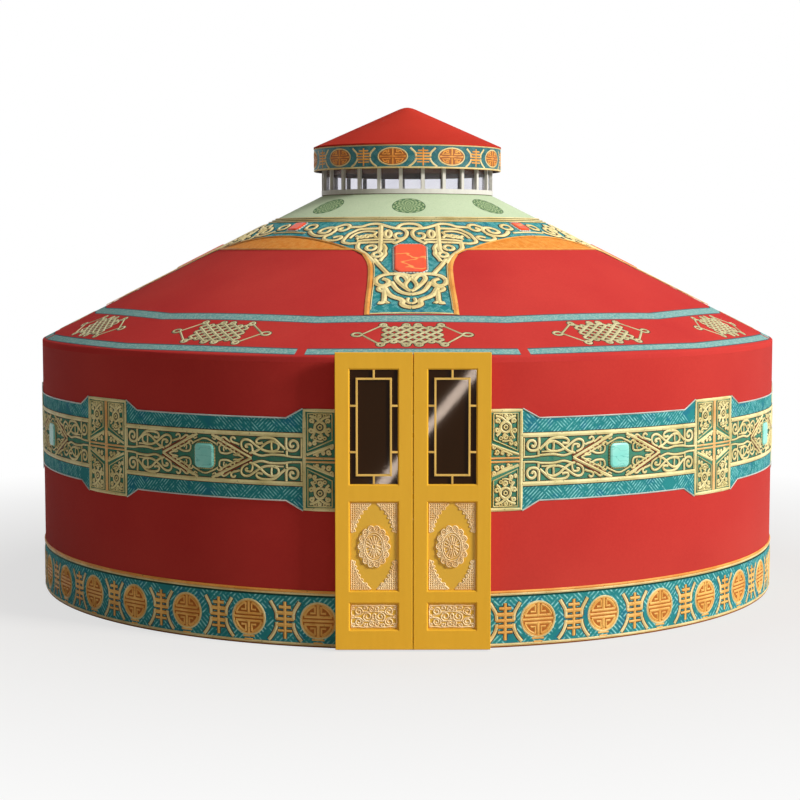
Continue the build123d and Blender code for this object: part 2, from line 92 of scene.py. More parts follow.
class Finish:
    """One finish, with its nodes."""

    def __init__(self, name):
        self.material = bpy.data.materials.new(name)
        self.material.use_nodes = True
        self.tree = self.material.node_tree
        self.shader = self.tree.nodes["Principled BSDF"]
        self.place = self.add("ShaderNodeTexCoord").outputs["Object"]
        self.x, self.y, self.z = self.add("ShaderNodeSeparateXYZ", {0: self.place}).outputs

    def add(self, kind, sockets=None, **options):
        node = self.tree.nodes.new(kind)
        for key, value in options.items():
            setattr(node, key, value)
        return self.fill(node, sockets or {})

    def fill(self, node, sockets):
        """Links each value that comes from a node, and sets each plain one."""
        for key, value in sockets.items():
            if isinstance(value, bpy.types.NodeSocket):
                self.tree.links.new(value, node.inputs[key])
            else:
                node.inputs[key].default_value = value
        return node

    def math(self, operation, *values):
        node = self.add("ShaderNodeMath", dict(enumerate(values)), operation=operation)
        return node.outputs[0]

    def total(self, *values):
        result = values[0]
        for value in values[1:]:
            result = self.math("ADD", result, value)
        return result

    def times(self, *values):
        result = values[0]
        for value in values[1:]:
            result = self.math("MULTIPLY", result, value)
        return result

    def mix(self, share, first, second):
        node = self.add("ShaderNodeMix", {0: share, 6: first, 7: second}, data_type="RGBA")
        return node.outputs[2]

    def between(self, share, dark, light):
        """A run from one card colour to another."""
        return self.mix(share, card(*dark), card(*light))

    def over(self, colour, *layers):
        """Lays card colours over a colour, one after another, each where its share is high."""
        for share, shade in layers:
            colour = self.mix(share, colour, card(*shade))
        return colour

    def ramp(self, value, low, high):
        """0 below low, 1 above high, a straight run between."""
        return self.add("ShaderNodeMapRange", {0: value, 1: low, 2: high}).outputs[0]

    def within(self, value, low, high, soft=0.0015):
        """1 between two values."""
        rise = self.ramp(value, low - soft, low + soft)
        fall = self.ramp(value, high + soft, high - soft)
        return self.times(rise, fall)

    def noise(self, scale, detail=3.0, place=None):
        sockets = {"Vector": place or self.place, "Scale": scale, "Detail": detail}
        return self.add("ShaderNodeTexNoise", sockets).outputs[0]

    def stretched(self, along):
        """The place, scaled along each axis, for marks that run one way."""
        return self.add("ShaderNodeMapping", {"Vector": self.place, "Scale": along}).outputs[0]

    def vector(self, x, y, z=0.0):
        return self.add("ShaderNodeCombineXYZ", {0: x, 1: y, 2: z}).outputs[0]

    def distance(self, x, y):
        return self.math("SQRT", self.total(self.times(x, x), self.times(y, y)))

    def around(self):
        """The angle from the door in radians, and the distance from the axis."""
        angle = self.math("ARCTAN2", self.x, self.times(self.y, -1.0))
        return angle, self.distance(self.x, self.y)

    def repeat(self, value, pitch, start=0.0):
        """A value folded to minus or plus half a pitch about start, start + pitch and so on."""
        moved = self.math("ADD", value, pitch / 2 - start)
        return self.math("ADD", self.math("FLOORED_MODULO", moved, pitch), -pitch / 2)

    def bump(self, height, distance, strength=1.0):
        node = self.add("ShaderNodeBump", {"Height": height, "Distance": distance, "Strength": strength})
        self.fill(self.shader, {"Normal": node.outputs[0]})

    def coat(self, colour, roughness=0.6, **plain):
        """Sets the shader, whose inputs are named with a line where they have a space."""
        more = {key.replace("_", " "): value for key, value in plain.items()}
        self.fill(self.shader, {"Base Color": colour, "Roughness": roughness, **more})
        return self.material


# %% [markdown]
# Canvas is a plain weave, so its bump is a product of two fine waves, one round the
# yurt and one up it. Age shows as a slow change of shade, and dust settles low down.

# %% Cloth helpers
DIAGONAL = 0.7071  # a square's side over its diagonal


def weave(finish, along, across, thread=0.005):
    """Height of a plain weave from two lengths."""
    waves = [finish.math("SINE", finish.times(value, tau / thread)) for value in (along, across)]
    return finish.times(waves[0], waves[1])


def hatch(finish, along, across, cell, lines=5.0):
    """Brocade ground: squares on their corners, each with strokes one way, the other or none."""
    first = finish.times(finish.total(along, across), DIAGONAL / cell)
    second = finish.times(finish.math("SUBTRACT", along, across), DIAGONAL / cell)
    square = finish.vector(finish.math("FLOOR", first), finish.math("FLOOR", second))
    chance = finish.add("ShaderNodeTexWhiteNoise", {"Vector": square}, noise_dimensions="2D").outputs[0]
    strokes = []
    for run, other in ((first, second), (second, first)):
        bars = finish.within(finish.math("FRACT", finish.times(run, lines)), 0.34, 0.62, 0.14)
        ends = finish.within(finish.math("FRACT", other), 0.06, 0.94, 0.05)
        strokes.append(finish.times(bars, ends))
    one_way, half_way, other_way = 0.0, 0.47, 0.94
    pick = finish.total(finish.times(strokes[0], finish.within(chance, one_way, half_way, 0.001)),
                        finish.times(strokes[1], finish.within(chance, half_way, other_way, 0.001)))
    worn = finish.ramp(finish.noise(24.0, 4.0, finish.vector(along, across)), 0.40, 0.56)
    return finish.times(pick, worn)


def teal(finish, along, across, cell, lines=5.0):
    """Teal brocade with pale strokes, and the strokes by themselves."""
    place = finish.vector(along, across)
    shade = finish.noise(3.0, 4.0, place)
    ground = finish.between(shade, (20, 106, 116), (50, 152, 152))
    blue = finish.ramp(finish.noise(8.0, 3.0, place), 0.54, 0.64)
    strokes = hatch(finish, along, across, cell, lines)
    return finish.over(ground, (finish.times(blue, 0.45), (28, 102, 144)),
                       (finish.times(strokes, 0.92), (162, 234, 234))), strokes


def brocade(finish, colour, strokes, along, across):
    """A band's cloth: its strokes and threads stand a little proud."""
    threads = weave(finish, along, across, 0.004)
    finish.bump(finish.total(strokes, finish.times(threads, 0.3)), 0.0012, 0.6)
    return finish.coat(colour, 0.70, Specular_IOR_Level=0.12)


def faded_red(finish, scale, dark, light, deep):
    """Red that wanders between two shades and is deeper in its grain, and that wandering."""
    shade = finish.noise(scale, 5.0)
    grain = finish.noise(60.0, 2.0)
    red = finish.between(finish.ramp(shade, 0.3, 0.7), dark, light)
    return finish.over(red, (finish.times(grain, 0.22), deep)), shade


def canvas_coat(finish, colour, shade, along, across, sheen=0.0):
    """Canvas in a colour, its threads standing proud of a slow rise and fall."""
    finish.bump(finish.total(finish.times(weave(finish, along, across), 0.30), shade), 0.0016, 0.5)
    return finish.coat(colour, 0.85, Specular_IOR_Level=0.06, Sheen_Weight=sheen)


# %% Red canvas of wall and cap


def red_canvas(name, dark, light, sheen=0.0):
    finish = Finish(name)
    length = finish.times(finish.around()[0], WALL_RADIUS)
    red, shade = faded_red(finish, 0.9, dark, light, (150, 18, 22))
    dust = finish.times(finish.ramp(finish.z, 0.75, 0.30), 0.10)
    foot = finish.ramp(finish.z, 0.022, 0.016)
    red = finish.over(red, (dust, (176, 92, 70)), (foot, (150, 92, 44)))
    return canvas_coat(finish, red, shade, length, finish.z, sheen)


WALL_CANVAS = red_canvas("wall_canvas_red", (189, 48, 44), (203, 61, 53), sheen=0.09)
CAP_CANVAS = red_canvas("cap_canvas_red", (188, 50, 38), (202, 62, 46))
print("red canvas ready")

# %% [markdown]
# The roof canvas carries printed trim. Each twelfth of the roof is one gore, and the
# strips run straight across a gore, so a strip lies between two distances measured
# along the gore's own middle line. The lower strip is bowed, the upper one straight,
# and the lower one stops short at the two seams beside each arm of the collar.

# %% Roof canvas with printed strips
GORE = tau / 12
UPPER_STRIP, UPPER_EDGE = (2.486, 2.560), (2.477, 2.568)
LOWER_STRIP, LOWER_EDGE = (2.903, 2.964), (2.893, 2.972)
BESIDE_SEAM, SOFT = 0.0118, 0.0006


def roof_canvas():
    finish = Finish("roof_canvas_printed")
    angle, radius = finish.around()
    length = finish.times(angle, 2.4)
    red, shade = faded_red(finish, 1.1, (197, 56, 54), (211, 69, 62), (150, 20, 24))
    # Distances from the axis: one straight across a gore, one bowed.
    local = finish.repeat(angle, GORE)
    straight = finish.times(radius, finish.math("COSINE", finish.times(local, 0.5)))
    bowed = finish.times(radius, finish.math("COSINE", finish.times(local, 0.35)))
    seam = finish.math("ABSOLUTE", finish.repeat(angle, tau / 4))
    at_seam = finish.within(seam, GORE / 2 - BESIDE_SEAM, GORE / 2 + BESIDE_SEAM, SOFT)
    clear = finish.math("SUBTRACT", 1.0, at_seam)
    strips, edges = [finish.math("MAXIMUM", finish.within(straight, *upper),
                                 finish.times(finish.within(bowed, *lower), clear))
                     for upper, lower in ((UPPER_STRIP, LOWER_STRIP), (UPPER_EDGE, LOWER_EDGE))]
    speckle = finish.ramp(finish.noise(70.0, 3.0), 0.35, 0.65)
    pale = finish.mix(0.70, teal(finish, length, radius, 0.035)[0],
                      finish.between(speckle, (110, 166, 166), (182, 206, 196)))
    colour = finish.mix(strips, finish.over(red, (edges, (60, 92, 100))), pale)
    colour = finish.over(colour, (finish.ramp(radius, 0.760, 0.758), (176, 202, 164)))
    return canvas_coat(finish, colour, shade, length, radius)


ROOF_CANVAS = roof_canvas()

# %% [markdown]
# Felt is pressed wool: no weave, only matted fibres, so its bump is layered noise.

# %% Felt


def wool():
    finish = Finish("wool_felt")
    fibres = finish.noise(180.0, 4.0)
    clouds = finish.noise(5.0, 4.0)
    colour = finish.between(clouds, (206, 196, 176), (232, 224, 206))
    colour = finish.over(colour, (finish.times(fibres, 0.3), (168, 156, 134)))
    finish.bump(finish.total(fibres, clouds), 0.004, 0.6)
    return finish.coat(colour, 0.95, Sheen_Weight=0.4, Specular_IOR_Level=0.15)


FELT = wool()

# %% [markdown]
# Every piece is finished in the same way: its mesh is written, smoothed except at real
# edges, given its finishes, and put on the body that carries it.

# %% Finishing a piece


def piece(name, work, finish, body="yurt", stands_for=(), smooth=35):
    """Turns a bmesh into a piece that rides on a body."""
    mesh = bpy.data.meshes.new(name)
    work.to_mesh(mesh)
    work.free()
    made = bpy.data.objects.new(name, mesh)
    bpy.context.scene.collection.objects.link(made)
    mesh.materials.append(finish)
    mesh.shade_smooth()
    mesh.set_sharp_from_angle(angle=radians(smooth))
    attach(made, body)
    if stands_for:
        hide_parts(*stands_for)
    triangles = sum(len(face.vertices) - 2 for face in mesh.polygons)
    print(f"{name}: {triangles} triangles")
    return made


# %% [markdown]
# A cover or a ring is a section carried round the axis, which is what spin does. Its
# two ends are closed, and the faces are turned outwards.

# %% Spun sections


def face_outwards(work):
    bmesh.ops.recalc_face_normals(work, faces=work.faces)


def spun(points, start, sweep, steps):
    """A closed (radius, height) section carried round the axis from an angle, in radians."""
    work = bmesh.new()
    corners = [work.verts.new((0, -radius, height)) for radius, height in points]
    sides = [work.edges.new(pair) for pair in zip(corners, corners[1:] + corners[:1])]
    bmesh.ops.rotate(work, verts=corners, matrix=Matrix.Rotation(start, 3, "Z"))
    full = sweep > tau - 0.001
    bmesh.ops.spin(work, geom=corners + sides, axis=(0, 0, 1), cent=(0, 0, 0), angle=sweep,
                   steps=steps, use_merge=full)
    if not full:
        rims = [edge for edge in work.edges if edge.is_boundary]
        bmesh.ops.holes_fill(work, edges=rims, sides=0)
    face_outwards(work)
    return work


def roof_height(radius):
    return EAVE + (WALL_RADIUS - radius) * tan(SLOPE)


# %% [markdown]
# The wall is felt under canvas, in four covers. The canvas is a stretched sheet, so its
# flat size is its height by its length round the wall. Beside the door both are cut
# flush with the frame: a plane cuts them, and the cut is closed.

# %% Wall covers
CANVAS = 0.004
LAYER_GAP = 0.0003
FELT_INNER = WALL_RADIUS - 0.040
QUARTERS = (radians(9), radians(95), radians(180), radians(265), radians(351))


def cut_across(work, x, side, clear=True):
    """Cuts a mesh with a plane across X, and clears what lies on the door's side."""
    everything = work.verts[:] + work.edges[:] + work.faces[:]
    return bmesh.ops.bisect_plane(work, geom=everything, plane_co=(x, 0, 0), plane_no=(-side, 0, 0),
                                  clear_outer=clear)["geom_cut"]


def cut_off(work, x, side):
    """Cuts across X and closes the cut."""
    rims = [item for item in cut_across(work, x, side)
            if isinstance(item, bmesh.types.BMEdge) and item.is_boundary]
    bmesh.ops.holes_fill(work, edges=rims, sides=0)


def wall_layer(name, outer, inner):
    """One layer of a cover, upright to the eave and sloped across its top like the roof."""
    start, end = QUARTERS[WALL_NAMES.index(name)], QUARTERS[WALL_NAMES.index(name) + 1]
    shelf = EAVE_EDGE - 0.0004
    rise = (outer - inner) * tan(SLOPE)
    top = shelf + (WALL_RADIUS - outer) * tan(SLOPE)
    rows = 8
    section = [(inner, 0)] + [(outer, top * k / rows) for k in range(rows + 1)]
    section.append((inner, top + rise))
    work = spun(section, start, end - start, ceil(degrees(end - start) / 1.25))
    if name.startswith("front"):
        side = 1 if name.endswith("right") else -1
        cut_off(work, side * FRAME_EDGE, side)
        face_outwards(work)
    return work


for name in WALL_NAMES:
    node = f"wall_cover_{name}"
    canvas = piece(f"wall_canvas_{name}", wall_layer(name, WALL_RADIUS, WALL_RADIUS - CANVAS),
                   WALL_CANVAS, stands_for=[node])
    felt = piece(f"wall_felt_{name}", wall_layer(name, WALL_RADIUS - CANVAS - LAYER_GAP, FELT_INNER),
                 FELT, stands_for=[node])

# %% [markdown]
# The roof is six covers. The canvas runs straight up the slope from a soft eave, where
# it turns down over the edge of the felt. A quarter turn of a small radius makes the eave.

# %% Roof covers
EAVE_ROUND = 0.017
ROOF_FELT = 0.0275


def roof_layer(k, depth, thick):
    """One layer of a cover: along the slope, round the eave and back at its thickness."""
    def offset(away):
        reach = max(EAVE_ROUND, away + 0.002)
        turn = reach - away
        centre = (WALL_RADIUS - reach, EAVE + reach * (tan(SLOPE) - 1 / cos(SLOPE)))
        arc = [(centre[0] + turn * cos(a), centre[1] + turn * sin(a))
               for a in [j * (pi / 2 - SLOPE) / 7 for j in range(8)]]
        tip = arc[-1]
        run = [(tip[0] + (CROWN_OPENING - tip[0]) * s, tip[1] - (CROWN_OPENING - tip[0]) * s * tan(SLOPE))
               for s in [j / 14 for j in range(1, 15)]]
        return [(WALL_RADIUS - away, EAVE_EDGE)] + arc + run

    outside, inside = offset(depth), offset(depth + thick)
    start = radians(15 + 60 * (k - 2))
    return spun(outside + inside[::-1], start, radians(60), 40)


for k in range(1, 7):
    node = f"roof_cover_{k}"
    canvas = piece(f"roof_canvas_{k}", roof_layer(k, 0, CANVAS), ROOF_CANVAS,
                   stands_for=[node])
    felt = piece(f"roof_felt_{k}", roof_layer(k, CANVAS + LAYER_GAP, ROOF_FELT), FELT,
                 stands_for=[node])

# %% [markdown]
# Sewn ornament is a cord or a cut strip laid on the cloth. It is drawn flat first, in
# metres, as open lines and rings, each with the half width of its strip. A line may be
# drawn straight from point to point or smoothed into a curve.

# %% Drawing ornament flat


class Pattern:
    """Flat lines: each is points, half width, closed or not, smoothed or not."""

    def __init__(self):
        self.lines = []

    def line(self, points, half, closed=False, curved=False):
        self.lines.append(([tuple(p) for p in points], half, closed, curved))
        return self

    def curve(self, points, half):
        return self.line(points, half, curved=True)

    def ring(self, centre, radius, half, squash=1.0, sides=16):
        turns = [tau * k / sides for k in range(sides)]
        points = [(centre[0] + radius * cos(a), centre[1] + radius * squash * sin(a)) for a in turns]
        return self.line(points, half, closed=True)

    def curl(self, centre, radius, half, start, turns, inner=0.25, steps=9):
        """A spiral that winds in from its outside."""
        count = ceil(abs(turns) * steps)
        points = []
        for k in range(count + 1):
            share = k / count
            reach = radius * (1 - (1 - inner) * share)
            a = radians(start) + turns * tau * share
            points.append((centre[0] + reach * cos(a), centre[1] + reach * sin(a)))
        return self.line(points, half)

    def add(self, other, x=0.0, y=0.0, wide=1.0, high=1.0):
        """Another pattern, stretched and moved."""
        for points, half, closed, curved in other.lines:
            moved = [(x + wide * u, y + high * v) for u, v in points]
            self.lines.append((moved, half, closed, curved))
        return self

    def resized(self, share=1.0, spare=0.0):
        """The same lines, their strips a share as wide, or wider by something to spare."""
        copy = Pattern()
        copy.lines = [(points, half * share + spare, closed, curved)
                      for points, half, closed, curved in self.lines]
        return copy

    def mirrored(self, sideways=True, upright=False):
        """Adds the mirror image, without the lines that fall on one already there."""
        taken = {self.ends(points) for points, half, closed, curved in self.lines}
        for points, half, closed, curved in self.lines[:]:
            flipped = [(-u if sideways else u, -v if upright else v) for u, v in points]
            if self.ends(flipped) not in taken:
                self.lines.append((flipped, half, closed, curved))
        return self

    @staticmethod
    def ends(points):
        """The points in no order, to tell whether two lines lie on each other."""
        return frozenset((round(u, 4) + 0.0, round(v, 4) + 0.0) for u, v in points)

    def both_ways(self):
        return self.mirrored(True, False).mirrored(False, True)

    def finer(self, step):
        """Cuts long straight runs, so that they can follow a round wall."""
        for i, (points, half, closed, curved) in enumerate(self.lines):
            if curved:
                continue
            run = points + points[:1] if closed else points
            cut = [run[0]]
            for first, last in zip(run, run[1:]):
                count = max(1, ceil(hypot(last[0] - first[0], last[1] - first[1]) / step))
                cut += [(first[0] + (last[0] - first[0]) * k / count,
                         first[1] + (last[1] - first[1]) * k / count) for k in range(1, count + 1)]
            self.lines[i] = (cut[:-1] if closed else cut, half, closed, curved)
        return self


# %% [markdown]
# A drawn line gets its body from a curve's bevel, a four-sided one, since there are
# thousands of short strips: laid on a corner it reads as a raised cord with a lit and a
# shaded flank. The drawing then goes onto the wall, the roof or the door, point by point.

# %% Laying ornament on a surface
APART, LEVELS = 0.1, 400
WELD = 0.00003
FLAT, KEEL = 0.0002, -0.15


def drawn(pattern, cuts=4):
    """A flat pattern as one bmesh, its lines lying in XY and their height in Z.

    Each line is lifted to a level of its own while its ends are closed, so that lines
    which meet aren't welded together, and every strip stays a closed body.
    """
    data = bpy.data.curves.new("drawing", "CURVE")
    data.dimensions = "3D"
    data.bevel_depth = 1.0
    data.bevel_resolution = 0
    data.resolution_u = cuts
    data.use_fill_caps = True
    for i, (points, half, closed, curved) in enumerate(pattern.lines):
        spline = data.splines.new("NURBS" if curved else "POLY")
        spline.points.add(len(points) - 1)
        for point, (u, v) in zip(spline.points, points):
            point.co = (u, v, APART * (i % LEVELS), 1)
            point.radius = half
        if curved:
            spline.order_u = 3
            spline.use_endpoint_u = True
        spline.use_cyclic_u = closed
    holder = bpy.data.objects.new("drawing", data)
    mesh = bpy.data.meshes.new_from_object(holder)
    work = bmesh.new()
    work.from_mesh(mesh)
    bpy.data.objects.remove(holder)
    bpy.data.curves.remove(data)
    bpy.data.meshes.remove(mesh)
    bmesh.ops.remove_doubles(work, verts=work.verts, dist=WELD)
    for vert in work.verts:
        vert.co.z -= APART * round(vert.co.z / APART)
    return work


def raised(work, lay, high, sink=0.0):
    """Lays a flat drawing with its ridge at one height, and its underside a little sunk."""
    for vert in work.verts:
        u, v, w = vert.co
        rise = high if w > FLAT else KEEL * high if w < -FLAT else 0.0
        vert.co = lay(u, v, rise + sink)
    face_outwards(work)
    return work


def relief(name, pattern, high, lay, finish, body="yurt", sink=0.0):
    """Raised strips laid on a surface, as one piece."""
    return piece(name, raised(drawn(pattern), lay, high, sink), finish, body, smooth=25)


def on_wall(u, v, w):
    """u metres round the wall from the door, v up, w outwards."""
    angle = u / WALL_RADIUS
    return Vector((sin(angle) * (WALL_RADIUS + w), -cos(angle) * (WALL_RADIUS + w), v))


def on_roof(turn):
    """A lay function in the plan of one side of the roof: x across, r outwards."""
    c, s = cos(turn), sin(turn)

    def lay(x, r, w):
        x, y = x * c + r * s, -r * c + x * s
        distance = hypot(x, y)
        out = w * sin(SLOPE) / distance
        return Vector((x + x * out, y + y * out, roof_height(distance) + w * cos(SLOPE)))

    return lay


# %% [markdown]
# Gold thread and gilt cord: a warm base whose shade wanders, with dark specks where the
# gilt has worn off. One network serves every cord and braid on the yurt, and only its
# colours differ. A stone is smoother, and a vein runs through it.

# %% Gold, stone and braid finishes


def gilt(name, light, dark, scale=60.0, roughness=0.5, grain=0.0008):
    finish = Finish(name)
    clouds = finish.noise(6.0, 4.0)
    fine = finish.noise(scale, 3.0)
    colour = finish.between(finish.ramp(clouds, 0.35, 0.65), dark, light)
    colour = finish.over(colour, (finish.ramp(fine, 0.62, 0.80), [0.55 * v for v in dark]))
    finish.bump(fine, grain, 0.6)
    return finish.coat(colour, roughness, Specular_IOR_Level=0.2)


GOLD = gilt("gold_cord", (244, 194, 108), (218, 156, 72))
PALE_GOLD = gilt("pale_gold_cord", (238, 220, 164), (212, 186, 124))
ORANGE_GOLD = gilt("orange_gold_cord", (242, 176, 88), (220, 142, 58))
BELT_GOLD = gilt("belt_gold_cord", (242, 232, 176), (214, 200, 138))
KNOT_CORD = gilt("knot_cord", (210, 202, 158), (178, 170, 126))
PEACH_GOLD = gilt("peach_gold_cord", (246, 208, 144), (228, 166, 98))
FRET_GOLD = gilt("fret_gold_cord", (246, 230, 172), (224, 202, 138))
RED_BROWN = gilt("red_brown_braid", (150, 70, 36), (120, 46, 26))
# Painted shade: a dark brown strip laid under a cord and a little wider, standing for the shade along the
# cord's edges.
SHADE_OUTLINE = gilt("painted_shade_outline", (84, 58, 34), (52, 40, 28), roughness=0.7)
SILVER = gilt("silver_cord", (214, 220, 212), (176, 190, 186), roughness=0.4)


def stone(name, light, dark, vein, scale):
    """A polished stone, with veins where a noise crosses its middle value."""
    finish = Finish(name)
    clouds = finish.noise(scale, 5.0)
    stripes = finish.noise(scale * 0.8, 3.0, finish.vector(finish.x, finish.times(finish.z, 2.5), finish.y))
    colour = finish.between(clouds, dark, light)
    colour = finish.over(colour, (finish.within(stripes, 0.492, 0.508, 0.012), vein))
    return finish.coat(colour, 0.32, Specular_IOR_Level=0.3)


TURQUOISE = stone("turquoise", (180, 240, 230), (84, 208, 194), (90, 182, 172), 9.0)
CORAL = stone("coral_stone", (255, 92, 24), (240, 62, 14), (255, 196, 96), 3.0)
print("golds and stones ready")

# %% [markdown]
# The hem band is teal brocade between two braids. Its medallions stand on amber grounds,
# which are printed in the cloth, since only what is raised needs a mesh of its own.

# %% Hem cloth finish
HEM_PITCH = radians(9.7297)
HEM_START = radians(-2.72)
HEM_MIDDLE = 0.185
HEM_COUNT = 38
MEDALLION = 0.128


def hem_cloth():
    finish = Finish("hem_brocade")
    angle = finish.around()[0]
    length = finish.times(angle, WALL_RADIUS)
    colour, strokes = teal(finish, length, finish.z, 0.080, lines=3.0)
    local = finish.times(finish.repeat(angle, HEM_PITCH, HEM_START), WALL_RADIUS)
    away = finish.distance(local, finish.math("SUBTRACT", finish.z, HEM_MIDDLE))
    # The ground of a medallion, then the edges: dark, pale and amber above, two golds below.
    colour = finish.over(colour,
                         (finish.ramp(away, MEDALLION + 0.002, MEDALLION - 0.002), (180, 106, 44)),
                         (finish.ramp(finish.z, 0.346, 0.349), (18, 62, 52)),
                         (finish.within(finish.z, 0.361, 0.375), (226, 204, 150)),
                         (finish.ramp(finish.z, 0.376, 0.379), (214, 134, 44)),
                         (finish.ramp(finish.z, 0.030, 0.027), (210, 160, 80)),
                         (finish.ramp(finish.z, 0.011, 0.009), (120, 50, 30)))
    return brocade(finish, colour, strokes, length, finish.z)


HEM_CLOTH = hem_cloth()

# %% [markdown]
# The belt band has a green field along its middle and in its tall panels, and teal
# brocade above and below the field. Its outline steps out at each panel.

# %% Belt cloth finish
BELT_FIRST = radians(9.8)
BELT_PANELS = 10
BELT_PITCH = (tau - 2 * BELT_FIRST) / (BELT_PANELS - 1)
PANEL_SWEEP, SLOPE_SWEEP = radians(9.3), radians(2.3)
PANEL_HALF, NARROW_HALF = 0.350, 0.284
FIELD_HALF = 0.1575
PANEL_LENGTH = PANEL_SWEEP / 2 * WALL_RADIUS


def belt_cloth():
    finish = Finish("belt_brocade")
    angle = finish.around()[0]
    length = finish.times(angle, WALL_RADIUS)
    turned = finish.math("FLOORED_MODULO", angle, tau)
    local = finish.times(finish.repeat(turned, BELT_PITCH, BELT_FIRST), WALL_RADIUS)
    along = finish.math("ABSOLUTE", local)
    above = finish.math("ABSOLUTE", finish.math("SUBTRACT", finish.z, BELT_MIDDLE))
    colour, strokes = teal(finish, length, finish.z, 0.100)
    panel = finish.ramp(along, PANEL_LENGTH + 0.001, PANEL_LENGTH - 0.001)
    field = finish.math("MAXIMUM", panel, finish.ramp(above, FIELD_HALF + 0.001, FIELD_HALF - 0.001))
    green = finish.between(finish.noise(14.0, 4.0), (38, 102, 86), (84, 158, 134))
    patina = finish.within(finish.noise(30.0, 5.0), 0.44, 0.50, 0.03)
    green = finish.over(green, (finish.times(patina, 0.30), (128, 140, 88)))
    return brocade(finish, finish.mix(field, colour, green), strokes, length, finish.z)


BELT_CLOTH = belt_cloth()

# %% [markdown]
# The collar is pale green cloth near the lantern, with eight mid-green rounds, then three
# close cords, then teal brocade that runs down the arms. Between the arms the ring turns
# to orange brocade past an edge that is nearly straight.

# %% Collar cloth finish
ROUNDS_RADIUS, ROUND = 0.90, 0.132
COLLAR_RING = 1.585
CORDS_LOW, CORDS_HIGH = 1.082, 1.156


def collar_cloth():
    finish = Finish("collar_brocade")
    angle, radius = finish.around()
    colour, strokes = teal(finish, finish.x, finish.y, 0.055)
    # Orange brocade fills the ring's corners, past an edge that is slightly bowed.
    ax, ay = finish.math("ABSOLUTE", finish.x), finish.math("ABSOLUTE", finish.y)
    chord = finish.times(finish.total(ax, ay), DIAGONAL)
    side = finish.times(finish.math("SUBTRACT", ay, ax), DIAGONAL)
    bowed = finish.total(finish.times(side, side, 0.0133), 1.375)
    beyond = finish.ramp(finish.math("SUBTRACT", chord, bowed), -0.002, 0.002)
    orange = finish.times(beyond, finish.ramp(radius, COLLAR_RING + 0.001, COLLAR_RING - 0.001))
    amber = finish.between(finish.noise(30.0, 5.0), (212, 118, 38), (242, 158, 64))
    bright = finish.times(hatch(finish, finish.x, finish.y, 0.03), 0.75)
    colour = finish.mix(orange, colour, finish.over(amber, (bright, (250, 202, 116))))
    # Each eighth of the pale cloth has a round, figured with lobes and spokes.
    pale = finish.between(finish.noise(4.0, 4.0), (192, 212, 174), (210, 224, 192))
    specks = finish.times(finish.ramp(finish.noise(90.0, 3.0), 0.5, 0.7), 0.35)
    local = finish.repeat(angle, tau / 8)
    aside = finish.times(radius, finish.math("SINE", local))
    ahead = finish.math("SUBTRACT", finish.times(radius, finish.math("COSINE", local)), ROUNDS_RADIUS)
    away = finish.distance(aside, finish.times(ahead, 1.0 / cos(SLOPE)))
    lobes = finish.math("SINE", finish.times(away, 170.0))
    bearing = finish.math("ARCTAN2", aside, finish.math("SUBTRACT", radius, ROUNDS_RADIUS))
    spokes = finish.math("SINE", finish.times(bearing, 12.0))
    figure = finish.ramp(finish.times(lobes, spokes), -0.20, 0.20)
    green = finish.over(card(90, 126, 86), (finish.times(figure, 0.85), (180, 198, 152)),
                        (finish.within(away, 0.104, 0.110), (82, 116, 78)),
                        (finish.ramp(away, 0.124, 0.127), (64, 100, 66)))
    disc = finish.ramp(away, ROUND + 0.002, ROUND - 0.002)
    pale = finish.mix(disc, finish.over(pale, (specks, (160, 188, 150))), green)
    colour = finish.mix(finish.ramp(radius, CORDS_LOW + 0.001, CORDS_LOW - 0.001), colour, pale)
    colour = finish.over(colour, (finish.within(radius, CORDS_LOW, CORDS_HIGH), (112, 112, 54)))
    return brocade(finish, colour, strokes, finish.times(angle, 1.6), radius)


COLLAR_CLOTH = collar_cloth()
print("band finishes ready")

# %% [markdown]
# The two bands are cloth sewn round the wall. The hem is a plain strip. The belt is a
# grid whose rows are drawn in to its stepped outline, then thickened.

# %% Hem and belt cloths
BAND, BAND_CLOTH = 0.004, 0.0038
SEAM = 0.0004
ON_BAND = SEAM + BAND
BAND_EDGE = FRAME_EDGE + 0.0024


def clear_of_hinges(work):
    """Cuts a band at the hinge plates, on both sides of the door."""
    for side in (1, -1):
        cut_across(work, side * BAND_EDGE, side, clear=False)
    inside = [face for face in work.faces
              if abs(face.calc_center_median().x) < BAND_EDGE and face.calc_center_median().y < 0]
    bmesh.ops.delete(work, geom=inside, context="FACES")
    rims = [edge for edge in work.edges if edge.is_boundary]
    if rims:
        bmesh.ops.holes_fill(work, edges=rims, sides=0)
    face_outwards(work)


def hem_work():
    inner = WALL_RADIUS + SEAM
    outer = inner + BAND_CLOTH
    ease = 0.0012
    section = [(inner, HEM_LOW), (outer - ease, HEM_LOW), (outer, HEM_LOW + ease),
               (outer, HEM_HIGH - ease), (outer - ease, HEM_HIGH), (inner, HEM_HIGH)]
    work = spun(section, radians(9), radians(342), 256)
    clear_of_hinges(work)
    return work


hem = piece("hem_cloth", hem_work(), HEM_CLOTH, stands_for=["hem_band"], smooth=30)


def belt_half(angle):
    """Half height of the belt at an angle."""
    away = abs((angle - BELT_FIRST + BELT_PITCH / 2) % BELT_PITCH - BELT_PITCH / 2)
    share = min(1, max(0, (away - PANEL_SWEEP / 2) / SLOPE_SWEEP))
    return PANEL_HALF + (NARROW_HALF - PANEL_HALF) * share


